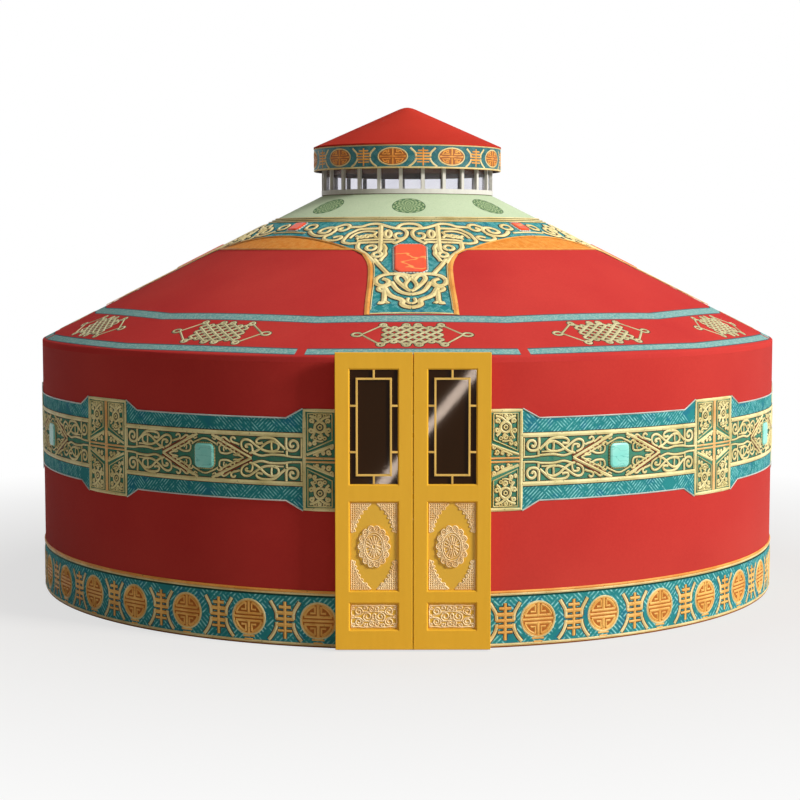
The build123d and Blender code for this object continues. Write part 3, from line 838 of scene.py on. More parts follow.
def belt_columns():
    """Angles of the grid's columns: every break of the outline, and regular ones between."""
    first, last = radians(8.9), radians(351.1)
    breaks = [first, last]
    for k in range(BELT_PANELS):
        middle = BELT_FIRST + k * BELT_PITCH
        breaks += [middle + s * (PANEL_SWEEP / 2 + t * SLOPE_SWEEP) for s in (1, -1) for t in (0, 1)]
    breaks = sorted(a for a in breaks if first <= a <= last)
    columns, widest = [breaks[0]], radians(1.6)
    for first, last in zip(breaks, breaks[1:]):
        count = ceil((last - first) / widest)
        columns += [first + (last - first) * k / count for k in range(1, count + 1)]
    return columns


def grid(columns, rows, lay):
    """A create_grid sheet whose vertices are laid by column and row."""
    work = bmesh.new()
    bmesh.ops.create_grid(work, x_segments=columns, y_segments=rows, size=1)
    for vert in work.verts:
        vert.co = lay((vert.co.x + 1) / 2, (vert.co.y + 1) / 2)
    return work


def belt_work():
    columns = belt_columns()

    def lay(across, up):
        angle = columns[round(across * (len(columns) - 1))]
        radius = WALL_RADIUS + SEAM
        height = BELT_MIDDLE + (2 * up - 1) * belt_half(angle)
        return Vector((sin(angle) * radius, -cos(angle) * radius, height))

    work = grid(len(columns) - 1, 10, lay)
    thicken(work, BAND_CLOTH)
    clear_of_hinges(work)
    return work


def thicken(work, thick):
    """Solidifies a sheet away from the axis, and turns its faces outwards."""
    face_outwards(work)
    first = next(iter(work.faces))
    outwards = Vector((first.calc_center_median().x, first.calc_center_median().y, 0.3))
    if first.normal.dot(outwards) < 0:
        bmesh.ops.reverse_faces(work, faces=work.faces)
    bmesh.ops.solidify(work, geom=work.verts[:] + work.edges[:] + work.faces[:], thickness=thick)
    face_outwards(work)


belt = piece("belt_cloth", belt_work(), BELT_CLOTH, stands_for=["belt_band"], smooth=30)

# %% [markdown]
# The collar is a star of cloth on the roof's cone: a ring with four arms. A polar grid
# runs from the lantern out to the star's edge, so its rows bend with the outline.

# %% Collar cloth
COLLAR_INNER = 0.7165
ARM_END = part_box("roof_collar")[1].y
ARM_SIDE = ((0.335, 2.43), (0.333, 2.34), (0.325, 2.20), (0.316, 2.05), (0.312, 1.90),
            (0.3135, 1.80), (0.328, 1.70), (0.360, 1.61), (0.400, 1.555), (0.430, 1.526))


def arm_columns():
    """(angle, reach) pairs over one eighth, from an arm's middle to the middle between arms."""
    half = [(0.0, ARM_END)]
    tip = asin(ARM_SIDE[0][0] / ARM_END)
    half += [(tip * k / 5, ARM_END) for k in range(1, 6)]
    side = ((tip + 0.0006, ARM_SIDE[0][1]),) + tuple(
        (asin(x / hypot(x, r)), hypot(x, r)) for x, r in ARM_SIDE[1:])
    half += side
    last = half[-1][0]
    half += [(last + (pi / 4 - last) * k / 14, COLLAR_RING) for k in range(1, 15)]
    return half


def star_columns():
    eighth = arm_columns()
    quarter = [(-a, reach) for a, reach in reversed(eighth[1:])] + eighth
    columns = []
    for k in range(4):
        columns += [(a + k * pi / 2, reach) for a, reach in quarter[:-1]]
    return columns + [(columns[0][0] + tau, columns[0][1])]


def collar_work():
    columns = star_columns()

    def lay(across, down):
        angle, reach = columns[round(across * (len(columns) - 1))]
        radius = COLLAR_INNER + (reach - COLLAR_INNER) * down
        height = roof_height(radius) + SEAM
        return Vector((sin(angle) * radius, -cos(angle) * radius, height))

    work = grid(len(columns) - 1, 16, lay)
    bmesh.ops.remove_doubles(work, verts=work.verts, dist=0.0002)
    thicken(work, BAND_CLOTH)
    return work


collar = piece("collar_cloth", collar_work(), COLLAR_CLOTH, stands_for=["roof_collar"],
               smooth=40)

# %% [markdown]
# Long-life knots are sewn near the eave, one to a gore, in flat cord over a wider dark
# strip that is painted shade. A knot is a lattice of slanting cords with a ring at each
# corner, and a longer ring at each side.

# %% Knots near the eave
KNOT_AWAY, KNOT_BEND = 2.729, 2.72


def knot(spare=0.0):
    drawing = Pattern()
    across, up = 0.0418, 0.0335
    limits = (4, 3, 2, 3, 4, 3, 4, 3, 2, 3, 4)
    half = 0.0115 + spare
    for i in range(10):
        for j in range(-4, 5):
            for step in (1, -1):
                if (i + j) % 2 == 0 and abs(j) <= limits[i] and abs(j + step) <= limits[i + 1]:
                    drawing.line([((i - 5) * across, j * up), ((i - 4) * across, (j + step) * up)], half)
    for sign in (1, -1):
        for column, row, radius in ((5, 4, 0.021), (1, 4, 0.021), (3, 2.8, 0.017)):
            drawing.ring((column * across, sign * row * up), radius, half * 0.9, sides=10)
        drawing.line([(0.230, sign * 0.118), (0.346, sign * 0.006)], 0.0078 + 0.5 * spare)
    drawing.ring((0.382, 0), 0.033, half * 0.85, squash=0.72, sides=12)
    return drawing.mirrored()


def knots(name, high, spare, finish, sink=0.0):
    whole = bmesh.new()
    shape = knot(spare)
    for k in range(12):
        to_roof = on_roof(k * GORE)

        def lay(u, v, w):
            away, angle = KNOT_AWAY + v * cos(SLOPE), u / KNOT_BEND
            return to_roof(away * sin(angle), away * cos(angle), w)

        add_to(whole, raised(drawn(shape), lay, high, sink))
    return piece(name, whole, finish, smooth=25)


def add_to(whole, part):
    """Adds one bmesh to another."""
    mesh = bpy.data.meshes.new("part")
    part.to_mesh(mesh)
    part.free()
    whole.from_mesh(mesh)
    bpy.data.meshes.remove(mesh)


# A wider, lower dark copy of each knot lies under it: painted shade round the cord.
knots("roof_knot_painted_shade", high=0.0012, spare=0.0075, finish=SHADE_OUTLINE)
knots("roof_knots", high=0.0035, spare=-0.0005, finish=KNOT_CORD, sink=0.0006)

# %% [markdown]
# The hem's medallion is a ring filled with a square fret, and between two medallions a
# stem with cross bars stands between a pair of horns. Both are generic ornament.

# %% Hem ornament


def medallion():
    drawing = Pattern()
    drawing.line([(0.0, 0.0265), (0.098, 0.0265)], 0.0086)
    drawing.curve([(0.097, 0.030), (0.088, 0.052), (0.068, 0.077), (0.044, 0.094), (0.024, 0.101)], 0.0086)
    drawing.line([(0.0225, 0.100), (0.0225, 0.0525), (0.056, 0.0525)], 0.0078)
    drawing.line([(0.0, 0.022), (0.0, 0.118)], 0.0098)
    drawing.line([(0.0, 0.0), (0.110, 0.0)], 0.0082)
    drawing.both_ways()
    return drawing.ring((0, 0), 0.1145, 0.0040, sides=28)


def medallion_rim():
    return Pattern().ring((0, 0), 0.1230, 0.0072, sides=28)


def stem_bars():
    drawing = Pattern()
    bars = ((0.085, 0.043, 0.0112), (0.0437, 0.066, 0.0142), (0.002, 0.066, 0.0122), (-0.039, 0.062, 0.0142),
            (-0.080, 0.052, 0.0092))
    for height, reach, half in bars:
        drawing.line([(0, height), (reach, height)], half)
    drawing.mirrored()
    return drawing.line([(0, -0.135), (0, 0.123)], 0.0115)


def stem_horns():
    drawing = Pattern()
    drawing.curve([(0.107, 0.125), (0.092, 0.099), (0.074, 0.072), (0.063, 0.046), (0.061, 0.018),
                   (0.062, 0.0)], 0.0130)
    drawing.curve([(0.062, -0.022), (0.060, -0.040), (0.067, -0.066), (0.082, -0.099), (0.104, -0.130),
                   (0.120, -0.148)], 0.0130)
    return drawing.mirrored()


def medallion_foot():
    drawing = Pattern()
    drawing.line([(-0.044, -0.1330), (0.044, -0.1330)], 0.0065)
    return drawing.line([(-0.032, -0.1560), (0.032, -0.1560)], 0.0070)


def round_the_wall(shape, pitch, start, height, count):
    """A shape repeated round the wall at a pitch."""
    drawing = Pattern()
    for k in range(count):
        drawing.add(shape, x=(start + k * pitch) * WALL_RADIUS, y=height)
    return drawing


DOOR_EDGE = asin((BAND_EDGE + 0.0006) / WALL_RADIUS) * WALL_RADIUS


def sewn(name, drawing, high, finish, cuts=3):
    """A drawing laid on a band round the wall, cut off at the doorway."""
    work = drawn(drawing, cuts)
    cut_off(work, DOOR_EDGE, 1)
    cut_off(work, tau * WALL_RADIUS - DOOR_EDGE, -1)
    return piece(name, raised(work, on_wall, high, ON_BAND), finish, smooth=25)


STEM_SHARE, SHADE_RISE, CORD_RISE = 0.532, 0.0012, 0.004
# The dark copy of stems and horns, a little wider and lower than the cords, is painted shade round them.
HEM_ROWS = (("hem_medallions", medallion().add(medallion_foot()), 0.0, GOLD),
            ("hem_medallion_rims", medallion_rim(), 0.0, PALE_GOLD),
            ("hem_stem_painted_shade", stem_bars().add(stem_horns()).resized(spare=0.0050), STEM_SHARE, SHADE_OUTLINE),
            ("hem_stems", stem_bars(), STEM_SHARE, GOLD),
            ("hem_horns", stem_horns(), STEM_SHARE, PALE_GOLD))
for name, shape, share, finish in HEM_ROWS:
    rise = SHADE_RISE if finish is SHADE_OUTLINE else CORD_RISE
    start = HEM_START + share * HEM_PITCH
    sewn(name, round_the_wall(shape, HEM_PITCH, start, HEM_MIDDLE, HEM_COUNT), rise, finish)


def band_lines(rows):
    """Straight braids round the wall: (height, half width) pairs."""
    drawing = Pattern()
    start, steps = 0.1, 170
    for height, half in rows:
        run = [(start + (tau * WALL_RADIUS - 2 * start) * k / steps, height) for k in range(steps + 1)]
        drawing.line(run, half)
    return drawing


sewn("hem_braids", band_lines([(0.369, 0.0062), (0.020, 0.0080)]), 0.004, PALE_GOLD)
sewn("hem_piping", band_lines([(0.3845, 0.0090)]), 0.005, ORANGE_GOLD)

# %% [markdown]
# Between two of the belt's panels lies a bay: a stone in the middle, a rhombus round it,
# and scrolls that fill what is left. One quarter is drawn and mirrored both ways.

# %% Belt bays
BAY = (BELT_PITCH * WALL_RADIUS) / 2 - PANEL_LENGTH


def bay_scrolls():
    """The pale scrolls of a quarter bay: outside the rhombus, then inside it."""
    drawing = Pattern()
    drawing.curve([(0.629, 0.150), (0.627, 0.112), (0.629, 0.077), (0.646, 0.061), (0.673, 0.058),
                   (0.701, 0.063), (0.714, 0.082), (0.715, 0.101), (0.707, 0.120), (0.693, 0.129),
                   (0.677, 0.131), (0.660, 0.123), (0.653, 0.108), (0.657, 0.092), (0.668, 0.084),
                   (0.679, 0.090), (0.680, 0.101)], 0.0100)
    drawing.line([(0.633, 0.060), (0.633, 0.029)], 0.0085)
    drawing.curve([(0.743, 0.017), (0.695, 0.017), (0.651, 0.019), (0.617, 0.026)], 0.0072)
    drawing.line([(0.738, 0.147), (0.738, 0.021)], 0.0065)
    drawing.curve([(0.621, 0.027), (0.564, 0.030), (0.517, 0.030), (0.482, 0.024), (0.456, 0.018),
                   (0.430, 0.020), (0.399, 0.029), (0.369, 0.040)], 0.0085)
    drawing.curve([(0.610, 0.050), (0.577, 0.052), (0.543, 0.047), (0.508, 0.046), (0.482, 0.050)], 0.0060)
    drawing.curve([(0.622, 0.067), (0.608, 0.082), (0.586, 0.100), (0.569, 0.117), (0.547, 0.135),
                   (0.517, 0.143), (0.482, 0.144), (0.447, 0.143), (0.419, 0.135), (0.406, 0.119),
                   (0.412, 0.103), (0.436, 0.101), (0.456, 0.108)], 0.0095)
    drawing.curve([(0.517, 0.121), (0.543, 0.119), (0.567, 0.108), (0.576, 0.086), (0.569, 0.064),
                   (0.543, 0.052), (0.508, 0.050), (0.477, 0.052), (0.447, 0.063), (0.421, 0.078),
                   (0.399, 0.093), (0.377, 0.110), (0.353, 0.124), (0.325, 0.129), (0.300, 0.119),
                   (0.290, 0.097), (0.296, 0.071), (0.317, 0.050), (0.347, 0.040)], 0.0090)
    drawing.line([(0.522, 0.119), (0.520, 0.088), (0.523, 0.060)], 0.0080)
    drawing.curve([(0.517, 0.120), (0.490, 0.112), (0.464, 0.094), (0.440, 0.071), (0.412, 0.051),
                   (0.386, 0.040), (0.356, 0.032)], 0.0095)
    drawing.curve([(0.381, 0.045), (0.380, 0.073), (0.369, 0.094), (0.349, 0.094), (0.332, 0.092),
                   (0.323, 0.082), (0.332, 0.071), (0.345, 0.077)], 0.0085)
    drawing.curve([(0.280, 0.088), (0.260, 0.097), (0.234, 0.100), (0.214, 0.112), (0.211, 0.130),
                   (0.225, 0.140), (0.243, 0.136), (0.247, 0.125)], 0.0085)
    drawing.curve([(0.211, 0.103), (0.190, 0.113), (0.177, 0.125), (0.164, 0.134), (0.149, 0.136),
                   (0.138, 0.127), (0.143, 0.117), (0.156, 0.116)], 0.0080)
    drawing.curve([(0.134, 0.125), (0.112, 0.134), (0.095, 0.142)], 0.0070)
    drawing.curve([(0.119, 0.067), (0.117, 0.030), (0.151, 0.022), (0.195, 0.023), (0.214, 0.034)], 0.0078)
    drawing.curve([(0.160, 0.036), (0.151, 0.051), (0.158, 0.067), (0.173, 0.064), (0.175, 0.049)], 0.0065)
    drawing.curve([(0.119, 0.067), (0.134, 0.077), (0.143, 0.090), (0.130, 0.101), (0.108, 0.097),
                   (0.099, 0.084)], 0.0070)
    drawing.curve([(0.214, 0.034), (0.232, 0.038), (0.247, 0.047), (0.232, 0.060), (0.212, 0.064),
                   (0.199, 0.047)], 0.0070)
    drawing.line([(0.108, 0.077), (0.082, 0.093), (0.047, 0.108), (0.021, 0.119), (0.0, 0.121)], 0.0065)
    drawing.curve([(0.292, 0.008), (0.268, 0.017), (0.246, 0.012), (0.232, 0.020)], 0.0065)
    drawing.curve([(0.262, 0.030), (0.280, 0.034), (0.284, 0.022)], 0.0055)
    drawing.curve([(0.172, 0.082), (0.186, 0.078), (0.188, 0.090), (0.176, 0.098), (0.160, 0.096)], 0.0062)
    drawing.curve([(0.062, 0.128), (0.078, 0.116), (0.092, 0.118), (0.090, 0.130)], 0.0058)
    return drawing.both_ways()


def bay_frames():
    """The paler, heavier strips of a bay: its two borders and the rhombus."""
    drawing = Pattern()
    drawing.line([(0.3704, 0.0), (0.059, 0.150)], 0.0105)
    drawing.line([(0.3100, 0.0), (0.120, 0.092)], 0.0070)
    drawing.both_ways()
    for sign in (1, -1):
        drawing.line([(-BAY, sign * 0.167), (BAY, sign * 0.167)], 0.0155)
    return drawing.finer(0.08)


def bay_lines():
    drawing = Pattern()
    drawing.line([(0.3800, 0.0150), (0.150, 0.1255)], 0.0040)
    drawing.line([(0.3430, 0.0), (0.110, 0.1123)], 0.0040)
    return drawing.both_ways().finer(0.08)


def bay_piping():
    drawing = Pattern()
    slope = SLOPE_SWEEP * WALL_RADIUS
    for sign in (1, -1):
        drawing.line([(-BAY, sign * PANEL_HALF), (-BAY + slope, sign * NARROW_HALF),
                      (BAY - slope, sign * NARROW_HALF), (BAY, sign * PANEL_HALF)], 0.0050)
    return drawing.finer(0.08)


def round_the_belt(shape, offset):
    """A shape at each panel, or halfway between two where offset is a half."""
    drawing = Pattern()
    for k in range(BELT_PANELS - (offset > 0)):
        drawing.add(shape, x=(BELT_FIRST + (k + offset) * BELT_PITCH) * WALL_RADIUS, y=BELT_MIDDLE)
    return drawing


# Dark copies, a little wider and lower than the scrolls and the borders, are painted shade round them.
shade_strips = bay_scrolls().resized(spare=0.0030)
sewn("belt_bay_painted_shade", round_the_belt(shade_strips, 0.5), 0.0012, SHADE_OUTLINE, cuts=2)
sewn("belt_bay_scrolls", round_the_belt(bay_scrolls(), 0.5), 0.005, BELT_GOLD, cuts=2)
sewn("belt_border_painted_shade", round_the_belt(bay_frames().resized(spare=0.0040), 0.5), 0.0014, SHADE_OUTLINE)
sewn("belt_bay_borders", round_the_belt(bay_frames(), 0.5), 0.006, BELT_GOLD)
sewn("belt_bay_lines", round_the_belt(bay_lines(), 0.5), 0.004, RED_BROWN)
sewn("belt_piping", round_the_belt(bay_piping(), 0.5), 0.005, SILVER)

# %% [markdown]
# A panel is four framed quarters round a broad centre bar and a double middle line. The
# first and last panels are half hidden by the door frame, so they are cut at its edge.

# %% Belt panels


def panel_frame():
    drawing = Pattern()
    drawing.line([(0.2325, 0.0), (0.2325, 0.3385), (0.0, 0.3385)], 0.0120)
    drawing.line([(0.025, 0.106), (0.215, 0.036)], 0.0095)
    drawing.line([(0.037, 0.318), (0.208, 0.318), (0.208, 0.064), (0.037, 0.140), (0.037, 0.318)], 0.0045)
    return drawing.both_ways().finer(0.10)


def panel_scrolls():
    drawing = Pattern()
    drawing.ring((0.122, 0.226), 0.036, 0.0098, sides=14)
    drawing.ring((0.122, 0.226), 0.013, 0.0060, sides=8)
    for x in (0.088, 0.157):
        drawing.ring((x, 0.306), 0.010, 0.0052, sides=8)
        drawing.ring((x, 0.150), 0.010, 0.0052, sides=8)
    drawing.curve([(0.052, 0.302), (0.090, 0.296), (0.122, 0.266), (0.162, 0.240), (0.152, 0.190),
                   (0.184, 0.148)], 0.0096)
    drawing.curve([(0.194, 0.302), (0.154, 0.294), (0.122, 0.262), (0.080, 0.242), (0.092, 0.194),
                   (0.058, 0.168)], 0.0096)
    for x, y, radius, start, turns in ((0.064, 0.268, 0.017, 300, 1.2), (0.181, 0.268, 0.017, 240, -1.2),
                                       (0.062, 0.208, 0.018, 40, -1.2), (0.184, 0.204, 0.018, 140, 1.2),
                                       (0.122, 0.160, 0.020, 90, 1.3), (0.122, 0.300, 0.014, 270, 1.1),
                                       (0.158, 0.116, 0.014, 100, -1.1), (0.194, 0.108, 0.012, 60, 1.1),
                                       (0.060, 0.056, 0.017, 200, 1.2), (0.100, 0.048, 0.013, 30, 1.1),
                                       (0.042, 0.088, 0.012, 90, 1.0), (0.140, 0.036, 0.010, 120, -1.0)):
        drawing.curl((x, y), radius, 0.0082, start, turns, inner=0.28)
    drawing.curve([(0.026, 0.104), (0.060, 0.090), (0.095, 0.070), (0.130, 0.052), (0.170, 0.034)], 0.0068)
    drawing.curve([(0.098, 0.132), (0.122, 0.126), (0.146, 0.136), (0.170, 0.128)], 0.0068)
    return drawing.both_ways()


def panel_bars():
    drawing = Pattern()
    drawing.line([(0.0, -0.328), (0.0, 0.328)], 0.0175)
    for sign in (1, -1):
        drawing.line([(-0.222, sign * 0.0125), (0.222, sign * 0.0125)], 0.0072)
    return drawing.finer(0.10)


sewn("belt_panel_frames", round_the_belt(panel_frame(), 0), 0.006, BELT_GOLD)
# A dark copy, a little wider and lower than the panel scrolls, is painted shade round them.
shade_strips = panel_scrolls().resized(spare=0.0026)
sewn("belt_panel_painted_shade", round_the_belt(shade_strips, 0), 0.0012, SHADE_OUTLINE, cuts=2)
sewn("belt_panel_scrolls", round_the_belt(panel_scrolls(), 0), 0.005, BELT_GOLD)
sewn("belt_panel_bars", round_the_belt(panel_bars(), 0), 0.008, PEACH_GOLD)

# %% [markdown]
# Each bay's stone is turquoise, nearly square with rounded corners, and set in a beaded
# rim. Its body is one face whose corners are bevelled, then pushed out and drawn in.

# %% Stones


def cabochon(lay, centre, half_width, half_height, corner, high, step=0.012, rounds=1):
    """A stone with clipped or rounded corners, flat backed and domed by an inset."""
    work = bmesh.new()
    bmesh.ops.create_grid(work, x_segments=1, y_segments=1, size=1)
    bmesh.ops.scale(work, vec=(half_width, half_height, 1), verts=work.verts)
    bmesh.ops.bevel(work, geom=work.verts[:], offset=corner, offset_type="OFFSET", segments=rounds,
                    profile=0.5, affect="VERTICES", material=-1)
    top = bmesh.ops.extrude_face_region(work, geom=work.faces[:])["geom"]
    crown = [item for item in top if isinstance(item, bmesh.types.BMFace)]
    bmesh.ops.translate(work, vec=(0, 0, high * 0.65), verts=[v for face in crown for v in face.verts])
    bmesh.ops.inset_region(work, faces=crown, thickness=step, depth=high * 0.35)
    face_outwards(work)
    for vert in work.verts:
        u, v, w = vert.co
        vert.co = lay(centre[0] + u, centre[1] + v, w)
    face_outwards(work)
    return work


def clipped(w, h, c):
    """Outline of a stone from its half width, half height and clipped corner."""
    return [(w, h - c), (w - c, h), (c - w, h), (-w, h - c),
            (-w, c - h), (c - w, -h), (w - c, -h), (w, c - h)]


def beads(drawing, outline, pitch, radius, centre=(0, 0)):
    """Short thick dashes along an outline, read as beads."""
    points = [(centre[0] + u, centre[1] + v) for u, v in outline]
    for first, last in zip(points, points[1:] + points[:1]):
        length = hypot(last[0] - first[0], last[1] - first[1])
        count = max(1, round(length / pitch))
        for k in range(count):
            a, b = (k + 0.14) / count, (k + 0.86) / count
            drawing.line([(first[0] + (last[0] - first[0]) * s, first[1] + (last[1] - first[1]) * s)
                          for s in (a, b)], radius)
    return drawing


STONE, STONE_RISE = (0.0770, 0.0845, 0.030), 0.016
SETTING = (0.0825, 0.0900, 0.027)
turquoises = bmesh.new()
settings = Pattern()
for k in range(BELT_PANELS - 1):
    middle = ((BELT_FIRST + (k + 0.5) * BELT_PITCH) * WALL_RADIUS, BELT_MIDDLE)
    add_to(turquoises, cabochon(lambda u, v, w: on_wall(u, v, w + ON_BAND), middle, *STONE, STONE_RISE,
                                rounds=3))
    beads(settings, clipped(*SETTING), 0.020, 0.0042, middle)
piece("belt_stones", turquoises, TURQUOISE, smooth=20)
sewn("belt_settings", settings, 0.006, PALE_GOLD)

# %% [markdown]
# Fretwork on the collar's arms, laid four times. Distances run across the arm, and out
# from the roof's axis. It hangs from a top arch, past a coral plaque, down to a drop.

# %% Collar fretwork


def arm_scrolls():
    drawing = Pattern()
    half = 0.0188
    # Below the plaque: hearts, drop, and the two swags.
    drawing.curve([(0.0, 1.985), (0.034, 2.045), (0.046, 2.100), (0.030, 2.150), (0.0, 2.168)], half * 0.9)
    drawing.curve([(0.022, 2.030), (0.036, 1.965), (0.085, 1.942), (0.112, 1.985), (0.090, 2.045),
                   (0.058, 2.100), (0.034, 2.132)], half)
    drawing.curve([(0.0, 1.962), (0.050, 1.935), (0.120, 1.925), (0.180, 1.930), (0.232, 1.955),
                   (0.262, 2.010), (0.246, 2.070), (0.200, 2.090), (0.160, 2.060), (0.166, 2.005),
                   (0.205, 1.990)], half)
    drawing.curve([(0.150, 2.070), (0.190, 2.110), (0.236, 2.105), (0.236, 2.150),
                   (0.196, 2.165)], half * 0.9)
    drawing.curve([(0.140, 2.040), (0.120, 2.110), (0.088, 2.170), (0.045, 2.202), (0.0, 2.212)], half)
    drawing.curve([(0.188, 2.120), (0.172, 2.190), (0.130, 2.245), (0.080, 2.270), (0.058, 2.300),
                   (0.072, 2.345), (0.040, 2.376), (0.0, 2.386)], half * 1.15)
    drawing.curve([(0.022, 2.262), (0.034, 2.300), (0.020, 2.328), (0.0, 2.334)], half * 0.7)
    drawing.curve([(0.190, 2.150), (0.192, 2.230), (0.194, 2.300), (0.210, 2.322), (0.236, 2.312)], half)
    drawing.curve([(0.194, 2.296), (0.170, 2.312), (0.166, 2.330)], half * 0.8)
    drawing = drawing.resized(1.06)
    # Beside the plaque: slanting bars, a waved inner edge, two rings and an outer bow.
    drawing.line([(0.268, 1.700), (0.232, 1.790), (0.162, 1.935)], 0.0190)
    drawing.curve([(0.384, 1.433), (0.402, 1.499), (0.376, 1.557), (0.335, 1.608), (0.304, 1.672),
                   (0.262, 1.760)], half)
    drawing.curve([(0.204, 1.490), (0.176, 1.550), (0.192, 1.594), (0.180, 1.644), (0.208, 1.688),
                   (0.226, 1.740)], half * 0.9)
    drawing.ring((0.292, 1.530), 0.036, half * 0.85, sides=14)
    drawing.ring((0.246, 1.638), 0.033, half * 0.9, sides=14)
    # Arch, crossbar, and the pair of scrolls under it.
    drawing.curve([(0.0, 1.190), (0.045, 1.194), (0.078, 1.218), (0.092, 1.256), (0.125, 1.252),
                   (0.180, 1.214), (0.229, 1.174), (0.262, 1.162), (0.318, 1.163), (0.359, 1.186),
                   (0.400, 1.176), (0.457, 1.163)], half * 0.95)
    drawing.line([(0.0, 1.262), (0.112, 1.262)], half * 0.85)
    drawing.curve([(0.062, 1.268), (0.024, 1.296), (0.018, 1.350), (0.034, 1.405), (0.066, 1.450),
                   (0.112, 1.482)], half * 0.9)
    drawing.curve([(0.026, 1.392), (0.062, 1.424), (0.106, 1.408), (0.116, 1.358), (0.086, 1.326),
                   (0.058, 1.348)], half * 0.85)
    drawing.ring((0.164, 1.340), 0.022, half * 0.85, squash=2.5, sides=14)
    # The post, the frame that bows out to a foot, and the plait inside it.
    drawing.line([(0.217, 1.205), (0.219, 1.400), (0.222, 1.560), (0.238, 1.610)], 0.0195)
    drawing.curve([(0.224, 1.244), (0.300, 1.234), (0.384, 1.216), (0.425, 1.246), (0.464, 1.268),
                   (0.490, 1.330), (0.510, 1.368), (0.496, 1.402), (0.452, 1.426)], half * 0.9)
    drawing.curve([(0.456, 1.346), (0.434, 1.304), (0.399, 1.277), (0.350, 1.264), (0.300, 1.272),
                   (0.262, 1.290)], half * 0.75)
    drawing.curve([(0.250, 1.296), (0.288, 1.390), (0.326, 1.300), (0.364, 1.390),
                   (0.404, 1.320)], half * 0.75)
    drawing.curve([(0.250, 1.390), (0.288, 1.300), (0.326, 1.390), (0.364, 1.300),
                   (0.404, 1.380)], half * 0.75)
    drawing.line([(0.106, 1.432), (0.237, 1.411), (0.343, 1.400), (0.400, 1.404)], half * 0.75)
    drawing.line([(0.098, 1.498), (0.131, 1.464), (0.343, 1.440), (0.462, 1.424)], half * 0.9)
    # Scrolls that run round the ring towards the gem: hook, spiral, loop and leaf.
    drawing.curve([(0.578, 1.117), (0.534, 1.102), (0.490, 1.096), (0.455, 1.128), (0.459, 1.171),
                   (0.488, 1.193), (0.520, 1.195), (0.540, 1.168), (0.528, 1.145),
                   (0.506, 1.150)], half * 0.9)
    drawing.curve([(0.606, 1.126), (0.616, 1.156), (0.645, 1.168), (0.676, 1.152), (0.698, 1.120),
                   (0.678, 1.092), (0.640, 1.085), (0.601, 1.092), (0.567, 1.125), (0.563, 1.164),
                   (0.587, 1.196), (0.625, 1.214), (0.686, 1.200), (0.731, 1.163), (0.761, 1.102),
                   (0.771, 1.054)], half * 0.9)
    drawing.curve([(0.590, 1.212), (0.632, 1.222), (0.659, 1.246), (0.648, 1.284), (0.606, 1.318),
                   (0.556, 1.334), (0.519, 1.317), (0.516, 1.290), (0.548, 1.270),
                   (0.582, 1.280)], half * 0.85)
    drawing.line([(0.805, 0.980), (0.789, 0.944), (0.750, 0.938), (0.713, 0.979), (0.718, 1.022),
                  (0.753, 1.030), (0.787, 1.014)], half * 0.8, closed=True, curved=True)
    return drawing.mirrored()


def arm_borders():
    """Orange braid down both sides of an arm, broad to its waist and narrow above."""
    drawing = Pattern()
    side = [(x - 0.0195, r) for x, r in ARM_SIDE]
    drawing.curve([(side[0][0], ARM_END - 0.004)] + side[1:8], 0.0185)
    drawing.curve([(x - 0.012, r) for x, r in ARM_SIDE[7:]] + [(0.468, 1.492), (0.540, 1.412),
                   (0.634, 1.321), (0.760, 1.190), (0.874, 1.075), (0.972, 0.977)], 0.0085)
    return drawing.mirrored()


def arm_foot():
    drawing = Pattern()
    reach = ARM_SIDE[0][0] - 0.042
    drawing.line([(-reach, ARM_END - 0.016), (0, ARM_END - 0.009), (reach, ARM_END - 0.016)], 0.0075)
    for side in (1, -1):
        drawing.line([(side * (x - 0.0450), r) for x, r in ((ARM_SIDE[0][0], 2.400), *ARM_SIDE[1:7])], 0.0042)
    return drawing.finer(0.1)


def four_times(name, drawing, high, finish):
    """A drawing laid on each of the collar's four arms."""
    whole = bmesh.new()
    for k in range(4):
        add_to(whole, raised(drawn(drawing), on_roof(k * pi / 2), high, ON_BAND))
    return piece(name, whole, finish, smooth=25)


# A dark copy, a little wider and lower than the fretwork, is painted shade round its strips.
four_times("collar_fret_painted_shade", arm_scrolls().resized(spare=0.0055), 0.0015, SHADE_OUTLINE)
four_times("collar_frets", arm_scrolls(), 0.006, FRET_GOLD)
four_times("collar_arm_braids", arm_borders(), 0.005, ORANGE_GOLD)
four_times("collar_arm_feet", arm_foot(), 0.005, PALE_GOLD)

# %% [markdown]
# Round the ring run three close cords, which read as a double braid, and an outer cord. A
# straight pale cord crosses each corner. A coral gem sits at each corner, and a coral
# plaque on each arm.

# %% Collar cords, gems and plaques


def ring_cords():
    drawing = Pattern()
    for radius, half in ((1.090, 0.0080), (1.118, 0.0075), (1.146, 0.0080)):
        drawing.ring((0, 0), radius, half, sides=144)
    return drawing


OUTER_CORD = COLLAR_RING - 0.010
CHORD_AWAY, CHORD_REACH = 1.318, 0.180
outer, chords = Pattern(), Pattern()
corner_angle = asin(ARM_SIDE[-1][0] / COLLAR_RING)
for k in range(4):
    start, end = k * pi / 2 + corner_angle, (k + 1) * pi / 2 - corner_angle
    angles = [start + (end - start) * j / 24 for j in range(25)]
    outer.line([(OUTER_CORD * sin(a), OUTER_CORD * cos(a)) for a in angles], 0.0095)
    c, s = cos(k * pi / 2 + pi / 4), sin(k * pi / 2 + pi / 4)
    steps = [CHORD_REACH * j / 4 for j in range(-4, 5)]
    chords.line([(CHORD_AWAY * s + t * c, CHORD_AWAY * c - t * s) for t in steps], 0.0105)
for name, cords, high, finish in (("collar_double_braid", ring_cords(), 0.004, PALE_GOLD),
                                  ("collar_outer_cord", outer, 0.005, ORANGE_GOLD),
                                  ("collar_chord_cords", chords, 0.005, PALE_GOLD)):
    relief(name, cords, high, on_roof(0), finish, sink=ON_BAND)

